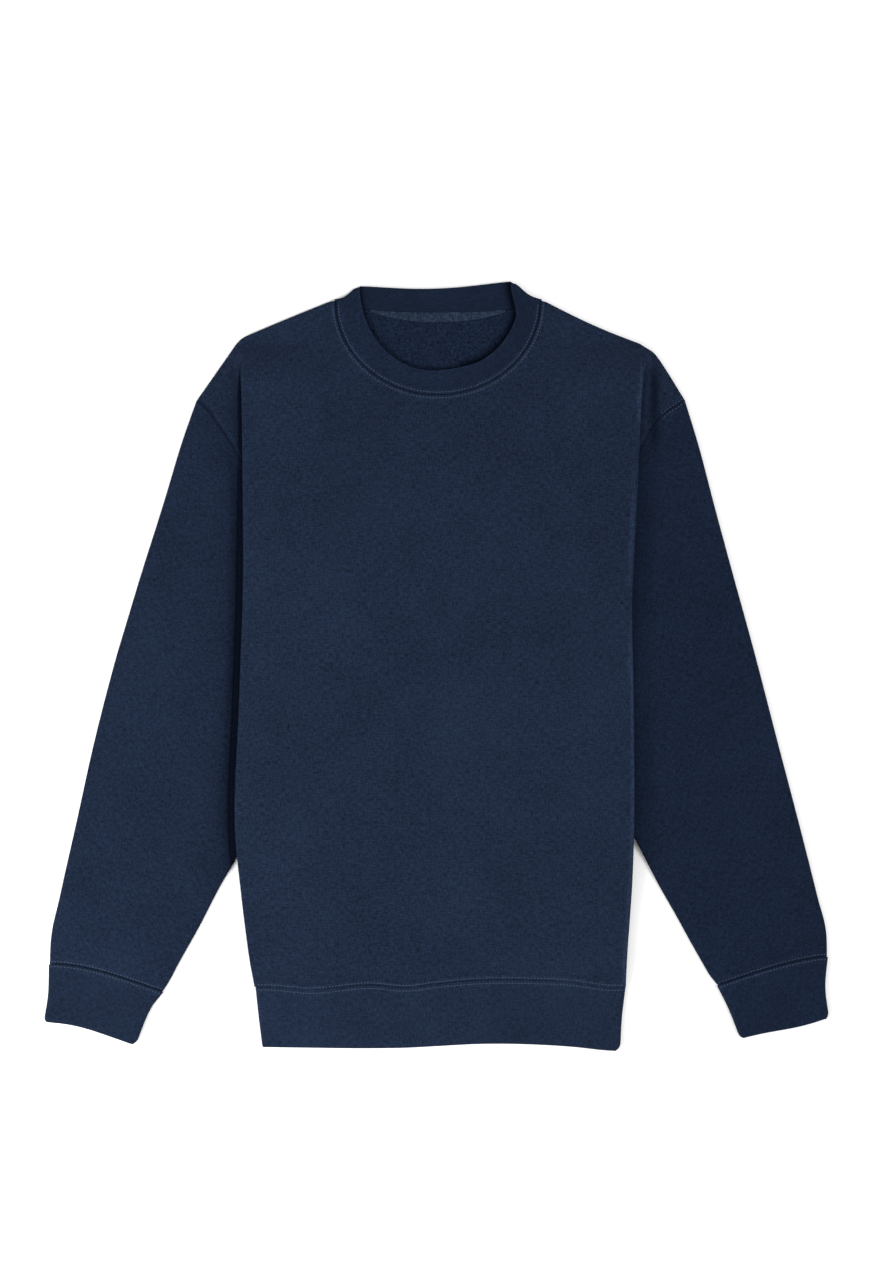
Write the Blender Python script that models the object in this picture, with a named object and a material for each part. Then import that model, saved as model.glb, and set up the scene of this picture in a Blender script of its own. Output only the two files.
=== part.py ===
"""Crewneck sweatshirt lying flat on its back, built from the nine pieces that are cut and sewn.

X runs across the body, +Y towards the neck and +Z up from the surface it lies on. The side of
each body panel is folded in, and the sleeve comes out between the two folds. Lengths in the
tables are millimetres, and the finished meshes are metres.
"""
import math

import bmesh
import bpy
import numpy as np
from mathutils import Matrix, Vector

# Driving sizes, in millimetres.
FLEECE = 2.2            # wall of the body and sleeves
RIB = 3.0               # wall of the folded rib bands
TAPE = 1.0              # wall of the neck tape
AIR = 0.5               # clear space between two layers that lie on each other
SEAM = 0.3              # clear space between two pieces at a seam
LAYER = FLEECE + AIR    # rise from one fleece layer to the next
RIB_LAYER = RIB + AIR   # rise from one rib layer to the next
FOLD = LAYER / 2 * math.pi   # length of cloth that goes round one folded edge
CURL = 1.5              # radius to which the shoulder edges bend down to their seam
BACK_INSET = 2.5        # how far the back's folded edges lie inside the front's
SLEEVE_LEVEL = 7.0      # how far a sleeve stays level outside the body's folded edge
SLEEVE_DROP = 18.0      # width over which it then comes down to the surface
RISE = 60.0             # width over which the front climbs onto its folded-in sides
RISE_PAST = 28.0        # how far outside the inner crease it has climbed all the way
UNDERARM = 3.0          # height at which the armhole ends and the side seam begins
TURN_IN = 16.0          # length over which the seam edges turn from one to the other
BED_RISE = 2            # fleece layers of the back that lie under a sleeve inside the body
SHOULDER_FROM = 150.0   # height up the body above which the folds begin to follow the shoulder

NECK = {"x": 1.0, "y": 340.0, "half_width": 95.0, "front_drop": 86.0, "back_drop": 9.0}
RIM = {"x": -1.6, "y": 357.1, "half_width": 70.6, "front_drop": 81.1, "tilt": 2.2, "sag": 4.3,
       "end_sag": 2.6}
# The front rim bulges to the right: how far, and the angles over which it starts and ends.
BULGE = {"out": 8.5, "down": 8.0, "start": 0.5, "last": 1.53, "end": 0.3}


def table(columns, *rows):
    """Turn rows of numbers into a dictionary with one array for each named column."""
    return dict(zip(columns.split(), np.array(rows, float).T))


# Height up the body and the x of the folded edge on each side.
EDGE = table(
    "y left right",
    (-300, -170, 176),
    (-274, -174.5, 177),
    (-237, -179.5, 179.5),
    (-205, -183, 181.5),
    (-165, -187, 183),
    (-31, -184, 183),
    (75, -180.5, 181.5),
    (193, -181, 187.5),
    (260, -181.8, 191),
    (310, -182.5, 193))

# The fold at the side of a panel: its turn in degrees and its depth from edge to inner crease.
PLEAT = table(
    "y turn depth",
    (-300, 96, 0.5),
    (-290, 96, 0.5),
    (-280, 140, 1.5),
    (-266, 180, 7),
    (-250, 180, 16),
    (-190, 180, 40),
    (-60, 180, 78),
    (5, 180, 91),
    (52, 180, 67),
    (100, 180, 43.5),
    (205, 180, 18),
    (245, 180, 8),
    (258, 172, 3),
    (270, 130, 1),
    (285, 60, 1),
    (300, 0, 1))

# The armhole seam on each side, from the underarm up to the end of the shoulder.
ARMHOLE = table(
    "y left right",
    (0, -94, 93.5),
    (52, -116, 117),
    (100, -138, 139),
    (150, -163, 163),
    (204, -189.5, 190.5),
    (228, -206, 204),
    (240, -214.5, 218),
    (247, -223.5, 229.5))

# Fleece layers between the surface and the folded side of the front, below the underarm.
STACK = table(
    "y layers",
    (-300, 1.6),
    (-290, 1.6),
    (-280, 2.5),
    (-250, 2.6),
    (-205, 4),
    (0, 4))

# Shoulders: where the outline bends and ends, how the stretch between them curves, and how the
# fold leans down over its span beside the bend.
SHOULDER = {
    "left": {"bend": (-181.0, 304.8), "end_y": 246.5, "curve": 1.0, "swell": 0.4,
             "lean": 0.59, "lean_span": 9.5, "lean_bend": 0.9},
    "right": {"bend": (192.0, 298.0), "end_y": 247.5, "curve": 1.42, "swell": -2.2,
              "lean": 0.6, "lean_span": 60.0, "lean_bend": 0.0},
}

# Each sleeve section runs from the outer folded edge to the inner one.
SLEEVE = {
    "left": table(
        "outer_x outer_y inner_x inner_y bow",
        (-225, 246, -93, 2, 1),
        (-236, 214, -107, -24, 0.75),
        (-254, 155, -130, -68, 0.4),
        (-277.5, 81, -158, -122, 0.15),
        (-289, 43, -173, -151, 0.05),
        (-300, 6, -187, -178, 0),
        (-319.5, -69, -204, -208, 0),
        (-336, -143, -222, -243, 0),
        (-352, -214, -241, -277, 0),
        (-360.5, -255, -251, -295.5, 0),
        (-361.5, -277, -256, -303, 0)),
    "right": table(
        "outer_x outer_y inner_x inner_y bow",
        (231, 246, 95, 2, 1),
        (242, 212, 109, -22, 0.75),
        (258, 152, 133, -66, 0.4),
        (279, 75, 161, -118, 0.15),
        (288.5, 41, 176, -145, 0.05),
        (298, 6, 189, -169, 0),
        (317.5, -69, 206, -202, 0),
        (337, -143, 224, -234, 0),
        (355, -214, 244, -270, 0),
        (363.5, -250, 256, -290, 0),
        (364, -270, 262, -297, 0)),
}

# Each cuff section, from the seam to the end of the rib, and how far its middle bows up.
CUFF = {
    "left": table(
        "outer_x outer_y inner_x inner_y bow",
        (-361.5, -277, -256, -303, 0),
        (-362.5, -304, -267, -319, 2),
        (-366, -330.5, -281, -353, 3)),
    "right": table(
        "outer_x outer_y inner_x inner_y bow",
        (364, -270, 262, -297, 0),
        (362.5, -296, 271, -317, 2),
        (366, -328, 283, -347, -1)),
}
CUFF_BOW = {"left": 4.5, "right": 3.0}  # how far each cuff seam bows up its sleeve
CUFF_BOW_SHAPE = 0.75   # below one, the bow is fullest nearer the outer edge

# The hem: x across it, and y of its seam and of its lower edge.
HEM = table(
    "x seam bottom",
    (-180, -298.5, -354.5),
    (-155, -298.5, -355),
    (-120, -301.5, -355.5),
    (-60, -297, -356),
    (-28, -299.5, -355.5),
    (0, -296, -354),
    (40, -292.5, -352),
    (90, -292.5, -352.5),
    (130, -294.5, -355),
    (158, -298.5, -358),
    (180, -298.5, -359))
HEM_SIDES = table(
    "across left right",
    (0, -169.5, 176),
    (0.5, -166.5, 172.5),
    (1, -163, 171))

# Sections that each body panel is lofted through, as shares of the way from hem to shoulder.
HEM_Y = -298.5
PANEL_SHARES = (0, 0.013, 0.031, 0.054, 0.09, 0.156, 0.25, 0.467, 0.478, 0.489, 0.505, 0.6,
                0.745, 0.82, 0.87, 0.913, 0.934, 0.953, 1)
ARC_STEPS = 4           # facets round a folded edge
CREASE_STEPS = 3        # facets round the inner crease of a side fold
TAB_STEPS = 2           # facets from the inner crease to the armhole
SHOULDER_STEPS = 2      # facets along a shoulder
NECK_STEPS = 10         # facets along a neckline
TAPE_STEPS = 6          # facets along half the neck tape
LEAST_TURN = 0.2        # least share of a full fold kept where the side fold runs out
LEAST_DEPTH = 0.5       # least depth of a side fold, from its edge to its inner crease
TAB_LENGTH = 2.0        # most cloth between the inner crease and the side seam
LEAST_TAB = 0.3         # least cloth there
SEAM_CURL = ((0.6, 0.25), (0.97, 0.62), (1, 1))   # shares of the curl, out and down
SEAM_WALL = (0.85, 0.65, 0.6)   # share of the wall left at the pressed shoulder seam
NECK_CLEAR = 3.1        # clear space at the shoulders, where the collar folds over
ARMHOLE_CLEAR = 0.9     # clear space between a panel's armhole edge and the sleeve's
UNDERARM_CLEAR = 3.5    # extra clear space at the underarm, where four folds meet
SLEEVE_ENTERS = 0.88    # furthest share across a sleeve at which the body's edge covers it
SLEEVE_LEAVES = 0.72    # furthest share at which it starts to climb onto the back's fold
CUFF_CLEAR = 0.39       # drop from a sleeve's last row to its cuff's first
COLLAR_SHARES = (0, 0.35, 0.7, 1)   # rows of the collar, from its seam to its rim
COLLAR_SINK = 0.7       # how far the front of the collar settles in the middle
COLLAR_END_SHAPE = 14   # how tightly the sag of the collar keeps to its folded ends
BACK_DIP_SHAPE = 3      # how flat the back neckline is in the middle
BACK_SAG_SHAPE = 3      # how much the back rim sags in its middle rather than all along
BAND_END = 160.0        # half of the waistband's width that follows the front's own points
SHARP = 50              # degrees between two facets that show as a crease
SIDES = (("left", -1), ("right", 1))
TAPE_SIZE = {"half_width": 61.0, "ends": 2.0, "middle": 9.0}

COLOURS = {
    "fleece": ((0.018, 0.029, 0.058, 1), 0.95),
    "rib": ((0.016, 0.026, 0.052, 1), 0.9),
    "tape": ((0.030, 0.043, 0.078, 1), 0.9),
}


def smooth(t):
    """Ease from 0 to 1 with no corner at either end."""
    t = np.clip(t, 0, 1)
    return t * t * (3 - 2 * t)


def follow(x_values, y_values, x):
    """Read a smooth curve through the points of a table at x, held level past its ends."""
    slopes = np.gradient(y_values, x_values)
    x = np.clip(x, x_values[0], x_values[-1])
    i = np.clip(np.searchsorted(x_values, x) - 1, 0, len(x_values) - 2)
    width = x_values[i + 1] - x_values[i]
    t = (x - x_values[i]) / width
    start = (1 + 2 * t) * (1 - t) ** 2 * y_values[i] + t * (1 - t) ** 2 * width * slopes[i]
    end = t * t * (3 - 2 * t) * y_values[i + 1] + t * t * (t - 1) * width * slopes[i + 1]
    return start + end


def pleat_at(name, y):
    """Read a column of the pleat table straight, as its corners are soft enough."""
    return np.interp(y, PLEAT["y"], PLEAT[name])


def side_edge(side, y):
    """Distance from the middle of the body to its folded edge at height y."""
    return abs(follow(EDGE["y"], EDGE[side], y))


def arc_length(turn, y):
    """Cloth that goes round a folded edge, less of it where the side fold runs out at the hem."""
    return FOLD if y > UNDERARM else FOLD * max(turn / math.pi, LEAST_TURN)


def fold_height(y):
    """Height between the top and the bottom of the whole fold above the underarm."""
    return side_fold("left", max(y, UNDERARM), 0.0)[-1][1]


def stack(y):
    """Height of the front at its folded edge above where it lies in the middle of the body."""
    if y < UNDERARM:
        return LAYER * follow(STACK["y"], STACK["layers"], y)
    return 2 * fold_height(y)


def sleeve_bed(x, y):
    """Height of the underside of a sleeve above the surface."""
    outside = abs(x) - side_edge("left" if x < 0 else "right", y)
    return BED_RISE * LAYER * (1 - smooth((outside - SLEEVE_LEVEL) / SLEEVE_DROP))


def body_height(x, y):
    """Height of the middle of the front panel's wall above the surface."""
    crease = side_edge("left" if x < 0 else "right", y) - pleat_at("depth", y)
    return FLEECE / 2 + LAYER + stack(y) * smooth((abs(x) - crease + RISE + RISE_PAST) / RISE)


def side_fold(side, y, inset):
    """Section of a panel's folded side at height y, from its folded edge to its seam.

    Returns the distance of each point outwards along x, how far it lies below the panel, and
    the share of the way along the last stretch, which ends at the armhole above the underarm.
    """
    turn = math.radians(pleat_at("turn", y))
    at = [side_edge(side, y) - inset - FLEECE / 2 - LAYER / 2, 0.0]
    under = smooth((UNDERARM - y) / TURN_IN)
    points = [(at[0], at[1], 0.0)]

    def walk(length, start, end, steps, share=(0.0, 0.0)):
        for step in range(steps):
            heading = start + (end - start) * (step + 0.5) / steps
            at[0] += length / steps * math.cos(heading)
            at[1] += length / steps * math.sin(heading)
            done = share[0] + (share[1] - share[0]) * (step + 1) / steps
            points.append((at[0], at[1], done))

    walk(arc_length(turn, y), 0, turn, ARC_STEPS)
    walk(max(pleat_at("depth", y) - inset, LEAST_DEPTH), turn, turn, 1)
    heading = under * math.pi / 2
    walk(arc_length(turn - heading, y), turn, heading, CREASE_STEPS)
    if under > 0:
        room = (LAYER + stack(y) - SEAM - FLEECE * math.cos(heading)) / 2 - at[1]
        length = min(room / math.sin(heading), TAB_LENGTH)
    else:
        length = abs(follow(ARMHOLE["y"], ARMHOLE[side], armhole_y(side, y))) - at[0]
    walk(max(length, LEAST_TAB), heading, heading, TAB_STEPS, (0.0, 1.0))
    return points


def armhole_y(side, y):
    """Height of the armhole end of the section whose folded edge is at height y."""
    drop = SHOULDER[side]["bend"][1] - SHOULDER[side]["end_y"]
    return y - drop * smooth((y - SHOULDER_FROM) / (SHOULDER[side]["bend"][1] - SHOULDER_FROM))


def panel_top(front):
    """Points of a panel's upper edge from one shoulder bend to the other."""
    points = []
    for side, sign in SIDES:
        bend_x, bend_y = SHOULDER[side]["bend"]
        neck_x = NECK["x"] + sign * (NECK["half_width"] + NECK_CLEAR + CURL)
        stretch = []
        for step in range(SHOULDER_STEPS):
            t = step / SHOULDER_STEPS
            swell = SHOULDER[side]["swell"] * math.sin(math.pi * t)
            stretch.append([bend_x + (neck_x - bend_x) * t,
                            bend_y + (NECK["y"] - bend_y) * t + swell])
        points.append(stretch)
    angles = math.pi * (np.arange(NECK_STEPS + 1) / NECK_STEPS - 0.5)
    seam = np.array([neck_point(angle, 0, front) for angle in angles])
    along = unit(np.gradient(seam, axis=0))
    neckline = seam + np.column_stack([along[:, 1], -along[:, 0]]) * (SEAM + CURL)
    for k, sign in ((0, -1), (-1, 1)):
        neckline[k] = NECK["x"] + sign * (NECK["half_width"] + NECK_CLEAR + CURL), NECK["y"]
    return np.array(points[0] + neckline.tolist() + points[1][::-1])


def panel_grid(front):
    """Middle surface of the front or the back, as rows of points from the hem to the shoulder."""
    top = panel_top(front)
    inset = 0.0 if front else BACK_INSET
    steps = np.linalg.norm(np.diff(panel_top(True), axis=0), axis=1)
    even = np.concatenate(([0], np.cumsum(steps))) / steps.sum()
    rows = []
    for share in PANEL_SHARES:
        sides = [side_points(side, sign, share, inset, front) for side, sign in SIDES]
        left_x, right_x = sides[0][0][0] - inset, sides[1][0][0] + inset
        blend = smooth(share) ** 2
        middle = []
        for k in range(1, len(top) - 1):
            x = left_x + (right_x - left_x) * even[k]
            x += (top[k, 0] - x) * blend
            y_low = follow(HEM["x"], HEM["seam"], x) + SEAM
            y = y_low + share * (top[k, 1] - y_low)
            middle.append((x, y, body_height(x, y) if front else FLEECE / 2))
        rows.append(sides[0][::-1] + middle + sides[1])
    return np.array(rows + shoulder_curl(np.array(rows[-1]), top, front))


def side_points(side, sign, share, inset, front):
    """Points of one row of a panel, from its folded edge to its armhole or side seam."""
    low, high = HEM_Y + SEAM, SHOULDER[side]["bend"][1]
    y = low + share * (high - low)
    fall = y - armhole_y(side, y)
    section = side_fold(side, y, inset)
    start = section[0][0]
    shape = SHOULDER[side]
    flatness = 0.0
    if y > SHOULDER_FROM:
        flatness = (1 + math.cos(math.radians(pleat_at("turn", y)))) / 2
    points = []
    for out, below, done in section:
        x = sign * out
        leant = min(out - start, shape["lean_span"])
        lean = shape["lean"] * flatness * leant * (1 + shape["lean_bend"] * leant / shape["lean_span"])
        point_y = y - fall * done ** shape["curve"] - lean * (1 - done)
        lowered = 0.0
        if done > 0 and y > UNDERARM:
            lowered = section[-1][1] * (1 - sleeve_bed(x, point_y) / (BED_RISE * LAYER))
        if front:
            z = FLEECE / 2 + LAYER + stack(y) - below - lowered
        else:
            z = FLEECE / 2 + below - lowered
        points.append((x, point_y, z))
    return points


def shoulder_curl(row, top, front):
    """Last rows of a panel, which bend its shoulder edges towards the other panel."""
    flat = np.column_stack([row[:, :2], np.zeros(len(row))])[None]
    along = tangents(flat, 1, False)[0]
    outwards = np.stack([-along[:, 1], along[:, 0], along[:, 2]], axis=1)
    ends = (len(row) - len(top)) // 2 + SHOULDER_STEPS
    bends = np.full(len(row), -1.0 if front else 1.0)
    bends[ends:-ends] = 0
    fall = (LAYER - SEAM) / 2
    rows = []
    for out, down in SEAM_CURL:
        rise = np.zeros_like(row)
        rise[:, 2] = bends * down * fall
        rows.append((row + outwards * out * CURL + rise).tolist())
    return rows


def armhole_line(side):
    """Places where the rows of a panel meet the armhole, from the shoulder to the underarm."""
    levels = HEM_Y + SEAM + np.array(PANEL_SHARES) * (SHOULDER[side]["bend"][1] - HEM_Y - SEAM)
    seam_y = np.array([armhole_y(side, y) for y in levels if y > 0])[::-1]
    return np.column_stack([follow(ARMHOLE["y"], ARMHOLE[side], seam_y), seam_y])


def sleeve_sections(side, sign):
    """Straight or bowed rows of points across a sleeve, from the armhole to the cuff seam."""
    rows = SLEEVE[side]
    line = armhole_line(side)
    walked = np.concatenate(([0], np.cumsum(np.linalg.norm(np.diff(line, axis=0), axis=1))))
    first = walked / walked[-1]
    bow = line - line[0] - (line[-1] - line[0]) * first[:, None]
    outside = np.abs(line[:, 0]) - [side_edge(side, y) for y in line[:, 1]]
    clear = max(np.argmax(outside < SLEEVE_LEVEL + SLEEVE_DROP) - 1, 1)
    tucked = np.argmax(outside < SLEEVE_LEVEL)
    sections = []
    for k, bowed in enumerate(rows["bow"]):
        outer = np.array([rows["outer_x"][k], rows["outer_y"][k]])
        inner = np.array([rows["inner_x"][k], rows["inner_y"][k]])
        way = (inner - outer) / np.linalg.norm(inner - outer)
        middle_edge = side_edge(side, (outer[1] + inner[1]) / 2)
        width = abs(outer[0] - inner[0])
        enters = min((abs(outer[0]) - middle_edge - SLEEVE_LEVEL) / width, SLEEVE_ENTERS)
        leaves = min(enters - SLEEVE_DROP / width, SLEEVE_LEAVES)
        knots = (0, first[clear], first[tucked], 1)
        share = np.interp(first, knots, (0, leaves, enters, 1)) if bowed < 1 else first
        rim = FLEECE / 2 + LAYER / 2
        start, end = outer + way * rim, inner - way * rim
        flat = start + (end - start) * share[:, None] + bow * bowed
        if bowed == 1:
            away = unit(end - start) @ np.array([[0, 1], [-1, 0]]) * sign
            flat = line + away * ARMHOLE_CLEAR
            flat[-1] += away * UNDERARM_CLEAR
        flat[:, 1] += seam_rise(side, share) * smooth((k - len(rows["bow"]) + 3) / 2)
        sections.append(flat)
    return sections


def seam_rise(side, share):
    """How far a cuff seam bows up the sleeve at a share of the way across."""
    return CUFF_BOW[side] * np.sin(math.pi * share ** CUFF_BOW_SHAPE)


def sleeve_grid(side, sign):
    """Middle surface of a sleeve: flat rings of points from the armhole to the cuff."""
    rings = []
    for flat in sleeve_sections(side, sign):
        rings.append(flat_ring(flat, LAYER / 2, lambda x, y: sleeve_bed(x, y) + FLEECE / 2))
    return np.array(rings)


def flat_ring(flat, radius, bed, facets=3):
    """Close a flattened tube round a row of points: top, far edge, bottom and near edge."""
    ring = [(x, y, bed(x, y) + 2 * radius) for x, y in flat]
    for corner, beside, sign in ((flat[-1], flat[-2], 1), (flat[0], flat[1], -1)):
        way = unit(corner - beside)
        if sign < 0:
            ring += [(x, y, bed(x, y)) for x, y in flat[::-1]]
        for step in range(1, facets):
            angle = math.pi * step / facets
            x, y = corner + way * radius * math.sin(angle)
            ring.append((x, y, bed(x, y) + radius * (1 + math.cos(angle) * sign)))
    return ring


def cuff_grid(side, sign):
    """Middle surface of a cuff, from its seam to its folded end."""
    rows = CUFF[side]
    seam = sleeve_sections(side, sign)[-1]
    share = np.linalg.norm(seam - seam[0], axis=1)[:, None]
    share /= share[-1]
    rings = []
    for k, bowed in enumerate(rows["bow"]):
        outer = np.array([rows["outer_x"][k], rows["outer_y"][k]])
        inner = np.array([rows["inner_x"][k], rows["inner_y"][k]])
        rim = unit(inner - outer) * (RIB + RIB_LAYER) / 2
        line = outer + rim + (inner - outer - 2 * rim) * share
        line[:, 1] += bowed * np.sin(math.pi * share[:, 0])
        if k == 0:
            line = seam - (0, CUFF_CLEAR)
        rings.append(flat_ring(line, RIB_LAYER / 2, lambda x, y: RIB / 2))
    return np.array(rings)


def hem_grid():
    """Middle surface of the waistband, from its seam to its folded lower edge."""
    across_x = panel_grid(True)[0][:, 0]
    across_x = across_x[np.abs(across_x) < BAND_END]
    rim = (RIB + RIB_LAYER) / 2
    rings = []
    for k, across in enumerate(HEM_SIDES["across"]):
        left, right = HEM_SIDES["left"][k] + rim, HEM_SIDES["right"][k] - rim
        x = np.concatenate(([left], across_x, [right]))
        seam = follow(HEM["x"], HEM["seam"], x) - SEAM
        y = seam + (follow(HEM["x"], HEM["bottom"], x) - seam) * across
        rings.append(flat_ring(np.column_stack([x, y]), RIB_LAYER / 2, lambda x, y: RIB / 2))
    return np.array(rings)


def neck_grid():
    """Middle surface of the collar: across the band from its seam to its rim, and round it."""
    rows = []
    mid = RIB / 2 + RIB_LAYER / 2
    for across in COLLAR_SHARES:
        loop = []
        for step in range(NECK_STEPS + 1):
            angle = math.pi * (step / NECK_STEPS - 0.5)
            height = mid + RIB_LAYER / 2 - COLLAR_SINK * math.cos(angle)
            loop.append(np.append(neck_point(angle, across, True), height))
        loop = folded_end(loop, across, 1, mid)
        for step in range(NECK_STEPS + 1):
            angle = math.pi * (0.5 - step / NECK_STEPS)
            loop.append(np.append(neck_point(angle, across, False), RIB / 2))
        rows.append(folded_end(loop, across, -1, mid))
    return np.array(rows)


def folded_end(loop, across, sign, mid):
    """Add the points that take the collar round its folded end, from one layer to the other."""
    end = neck_point(sign * math.pi / 2, across, True)
    edge = neck_point(sign * math.pi / 2, 1, True) - neck_point(sign * math.pi / 2, 0, True)
    out = np.array([edge[1], -edge[0]]) * -sign
    out /= np.linalg.norm(out)
    if out[1] < 0:
        out = -out
    for angle in (math.pi / 4, math.pi / 2, math.pi * 3 / 4):
        rise = RIB_LAYER / 2 * math.cos(angle) * sign
        loop.append(np.append(end + out * RIB_LAYER / 2 * math.sin(angle), mid + rise))
    return loop


def neck_point(angle, across, front):
    """Place on the collar, at an angle round the neck and a share of the way across the band."""
    turn = math.sin(angle)
    seam_dip = NECK["front_drop"] * math.cos(angle)
    rim_dip = RIM["front_drop"] * math.cos(angle)
    if not front:
        seam_dip = NECK["back_drop"] * (1 - abs(turn) ** BACK_DIP_SHAPE)
        rim_dip = RIM["sag"] * abs(math.cos(angle)) ** BACK_SAG_SHAPE
    seam = np.array([NECK["x"] + NECK["half_width"] * turn, NECK["y"] - seam_dip])
    rim = np.array([RIM["x"] + RIM["half_width"] * turn, RIM["y"] + RIM["tilt"] * turn - rim_dip])
    if front:
        bulge = smooth(angle / BULGE["start"]) * smooth((BULGE["last"] - angle) / BULGE["end"])
        rim = rim + (BULGE["out"] * bulge, -BULGE["down"] * bulge * turn ** 2)
    end_sag = RIM["end_sag"] * math.sin(math.pi * across) * abs(turn) ** COLLAR_END_SHAPE
    return seam + (rim - seam) * across - (0, end_sag)


def tape_grid():
    """Middle surface of the half-moon tape that covers the back neck seam inside."""
    rows = []
    for across in (0, 0.5, 1):
        row = []
        for step in range(2 * TAPE_STEPS + 1):
            t = step / TAPE_STEPS - 1
            x = NECK["x"] + TAPE_SIZE["half_width"] * t
            angle = math.asin(t * TAPE_SIZE["half_width"] / NECK["half_width"])
            top = neck_point(angle, 0, False)[1]
            depth = TAPE_SIZE["ends"] + (TAPE_SIZE["middle"] - TAPE_SIZE["ends"]) * (1 - t * t)
            row.append((x, top - 2 * SEAM - depth * (1 - across), FLEECE + SEAM + TAPE / 2))
        rows.append(row)
    return np.array(rows)


def unit(vectors):
    """Scale vectors to length one."""
    return vectors / np.maximum(np.linalg.norm(vectors, axis=-1, keepdims=True), 1e-9)


def tangents(grid, axis, closed):
    """Direction of a grid of points along one axis, evenly between the two cells it joins."""
    steps = np.diff(grid, axis=axis, append=np.take(grid, [0], axis=axis))
    steps = unit(steps)
    if closed:
        return unit(steps + np.roll(steps, 1, axis=axis))
    steps = np.take(steps, range(grid.shape[axis] - 1), axis=axis)
    first, last = np.take(steps, [0], axis=axis), np.take(steps, [-1], axis=axis)
    return unit(np.concatenate((first, steps), axis=axis) + np.concatenate((steps, last), axis=axis))


def add_cloth(name, grid, wall, colour, closed=False):
    """Give a grid of middle points its wall, as one closed solid, and add it to the scene."""
    normals = unit(np.cross(tangents(grid, 1, closed), tangents(grid, 0, False)))
    wall = np.broadcast_to(np.reshape(wall, (-1, 1, 1)), normals[..., :1].shape)
    outer, inner = grid + normals * wall / 2, grid - normals * wall / 2
    rows, columns = grid.shape[:2]
    points = np.concatenate((outer.reshape(-1, 3), inner.reshape(-1, 3))) / 1000
    place = np.arange(rows * columns).reshape(rows, columns)
    under = place + rows * columns
    faces = []
    last = columns if closed else columns - 1
    for r in range(rows - 1):
        for c in range(last):
            d = (c + 1) % columns
            faces.append((place[r, c], place[r + 1, c], place[r + 1, d], place[r, d]))
            faces.append((under[r, c], under[r, d], under[r + 1, d], under[r + 1, c]))
    for c in range(last):
        d = (c + 1) % columns
        faces.append((place[0, c], place[0, d], under[0, d], under[0, c]))
        faces.append((place[-1, d], place[-1, c], under[-1, c], under[-1, d]))
    if not closed:
        for r in range(rows - 1):
            faces.append((place[r + 1, 0], place[r, 0], under[r, 0], under[r + 1, 0]))
            faces.append((place[r, -1], place[r + 1, -1], under[r + 1, -1], under[r, -1]))
    mesh = bpy.data.meshes.new(name)
    mesh.from_pydata(points.tolist(), [], [[int(i) for i in face] for face in faces])
    mesh.validate()
    solid = bmesh.new()
    solid.from_mesh(mesh)
    bmesh.ops.recalc_face_normals(solid, faces=solid.faces)
    bmesh.ops.triangulate(solid, faces=solid.faces)
    solid.to_mesh(mesh)
    solid.free()
    mesh.shade_smooth()
    mesh.set_sharp_from_angle(angle=math.radians(SHARP))
    mesh.materials.append(colour)
    bpy.context.scene.collection.objects.link(bpy.data.objects.new(name, mesh))


def make_material(name):
    """One plain cloth colour."""
    rgba, roughness = COLOURS[name]
    material = bpy.data.materials.new(name)
    material.use_nodes = True
    shader = material.node_tree.nodes["Principled BSDF"]
    shader.inputs["Base Color"].default_value = rgba
    shader.inputs["Roughness"].default_value = roughness
    return material


def build():
    """Clear the scene and make the nine pieces."""
    for existing in list(bpy.data.objects):
        bpy.data.objects.remove(existing, do_unlink=True)
    fleece, rib, tape = (make_material(name) for name in ("fleece", "rib", "tape"))
    wall = [FLEECE] * len(PANEL_SHARES) + [FLEECE * share for share in SEAM_WALL]
    add_cloth("front_panel", panel_grid(True), wall, fleece)
    add_cloth("back_panel", panel_grid(False), wall, fleece)
    for side, sign in SIDES:
        add_cloth("sleeve_" + side, sleeve_grid(side, sign), FLEECE, fleece, closed=True)
        add_cloth("cuff_" + side, cuff_grid(side, sign), RIB, rib, closed=True)
    add_cloth("hem_rib", hem_grid(), RIB, rib, closed=True)
    add_cloth("neck_rib", neck_grid(), RIB, rib, closed=True)
    add_cloth("neck_tape", tape_grid(), TAPE, tape)
    set_on_origin()


def set_on_origin():
    """Move the pieces so that the middle of their footprint is the origin."""
    meshes = [item.data for item in bpy.data.objects]
    corners = np.array([vertex.co for mesh in meshes for vertex in mesh.vertices])
    low, high = corners.min(axis=0), corners.max(axis=0)
    middle = Vector(((low + high) / 2).tolist())
    middle.z = low[2]
    for mesh in meshes:
        mesh.transform(Matrix.Translation(-middle))


build()
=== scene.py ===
import math
import bmesh
import bpy
import numpy as np
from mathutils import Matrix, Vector
from mathutils.bvhtree import BVHTree


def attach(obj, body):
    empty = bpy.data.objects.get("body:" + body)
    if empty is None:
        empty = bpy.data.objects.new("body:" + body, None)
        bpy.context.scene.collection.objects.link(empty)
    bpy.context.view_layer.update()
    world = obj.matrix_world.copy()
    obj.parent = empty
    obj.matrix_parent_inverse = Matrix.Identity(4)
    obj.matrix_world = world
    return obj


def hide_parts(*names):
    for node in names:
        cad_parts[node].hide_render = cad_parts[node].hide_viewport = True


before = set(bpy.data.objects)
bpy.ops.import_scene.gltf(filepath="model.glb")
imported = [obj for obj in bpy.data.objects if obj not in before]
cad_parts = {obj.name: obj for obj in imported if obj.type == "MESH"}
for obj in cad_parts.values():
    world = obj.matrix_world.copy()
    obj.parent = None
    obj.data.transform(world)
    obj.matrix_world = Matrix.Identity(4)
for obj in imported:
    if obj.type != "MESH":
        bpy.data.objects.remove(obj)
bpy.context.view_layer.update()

# Crewneck sweatshirt lying flat on its back. Tables and sizes are millimetres, meshes are metres.
# X runs across the body, +Y towards the neck, +Z up from the surface it lies on.
fleeceWall = 2.2
ribWall = 3.0
tapeWall = 1.0
air = 0.5               # clear space between two layers that lie on each other
seamGap = 0.3           # clear space between two pieces at a seam
layer = fleeceWall + air
ribLayer = ribWall + air
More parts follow.
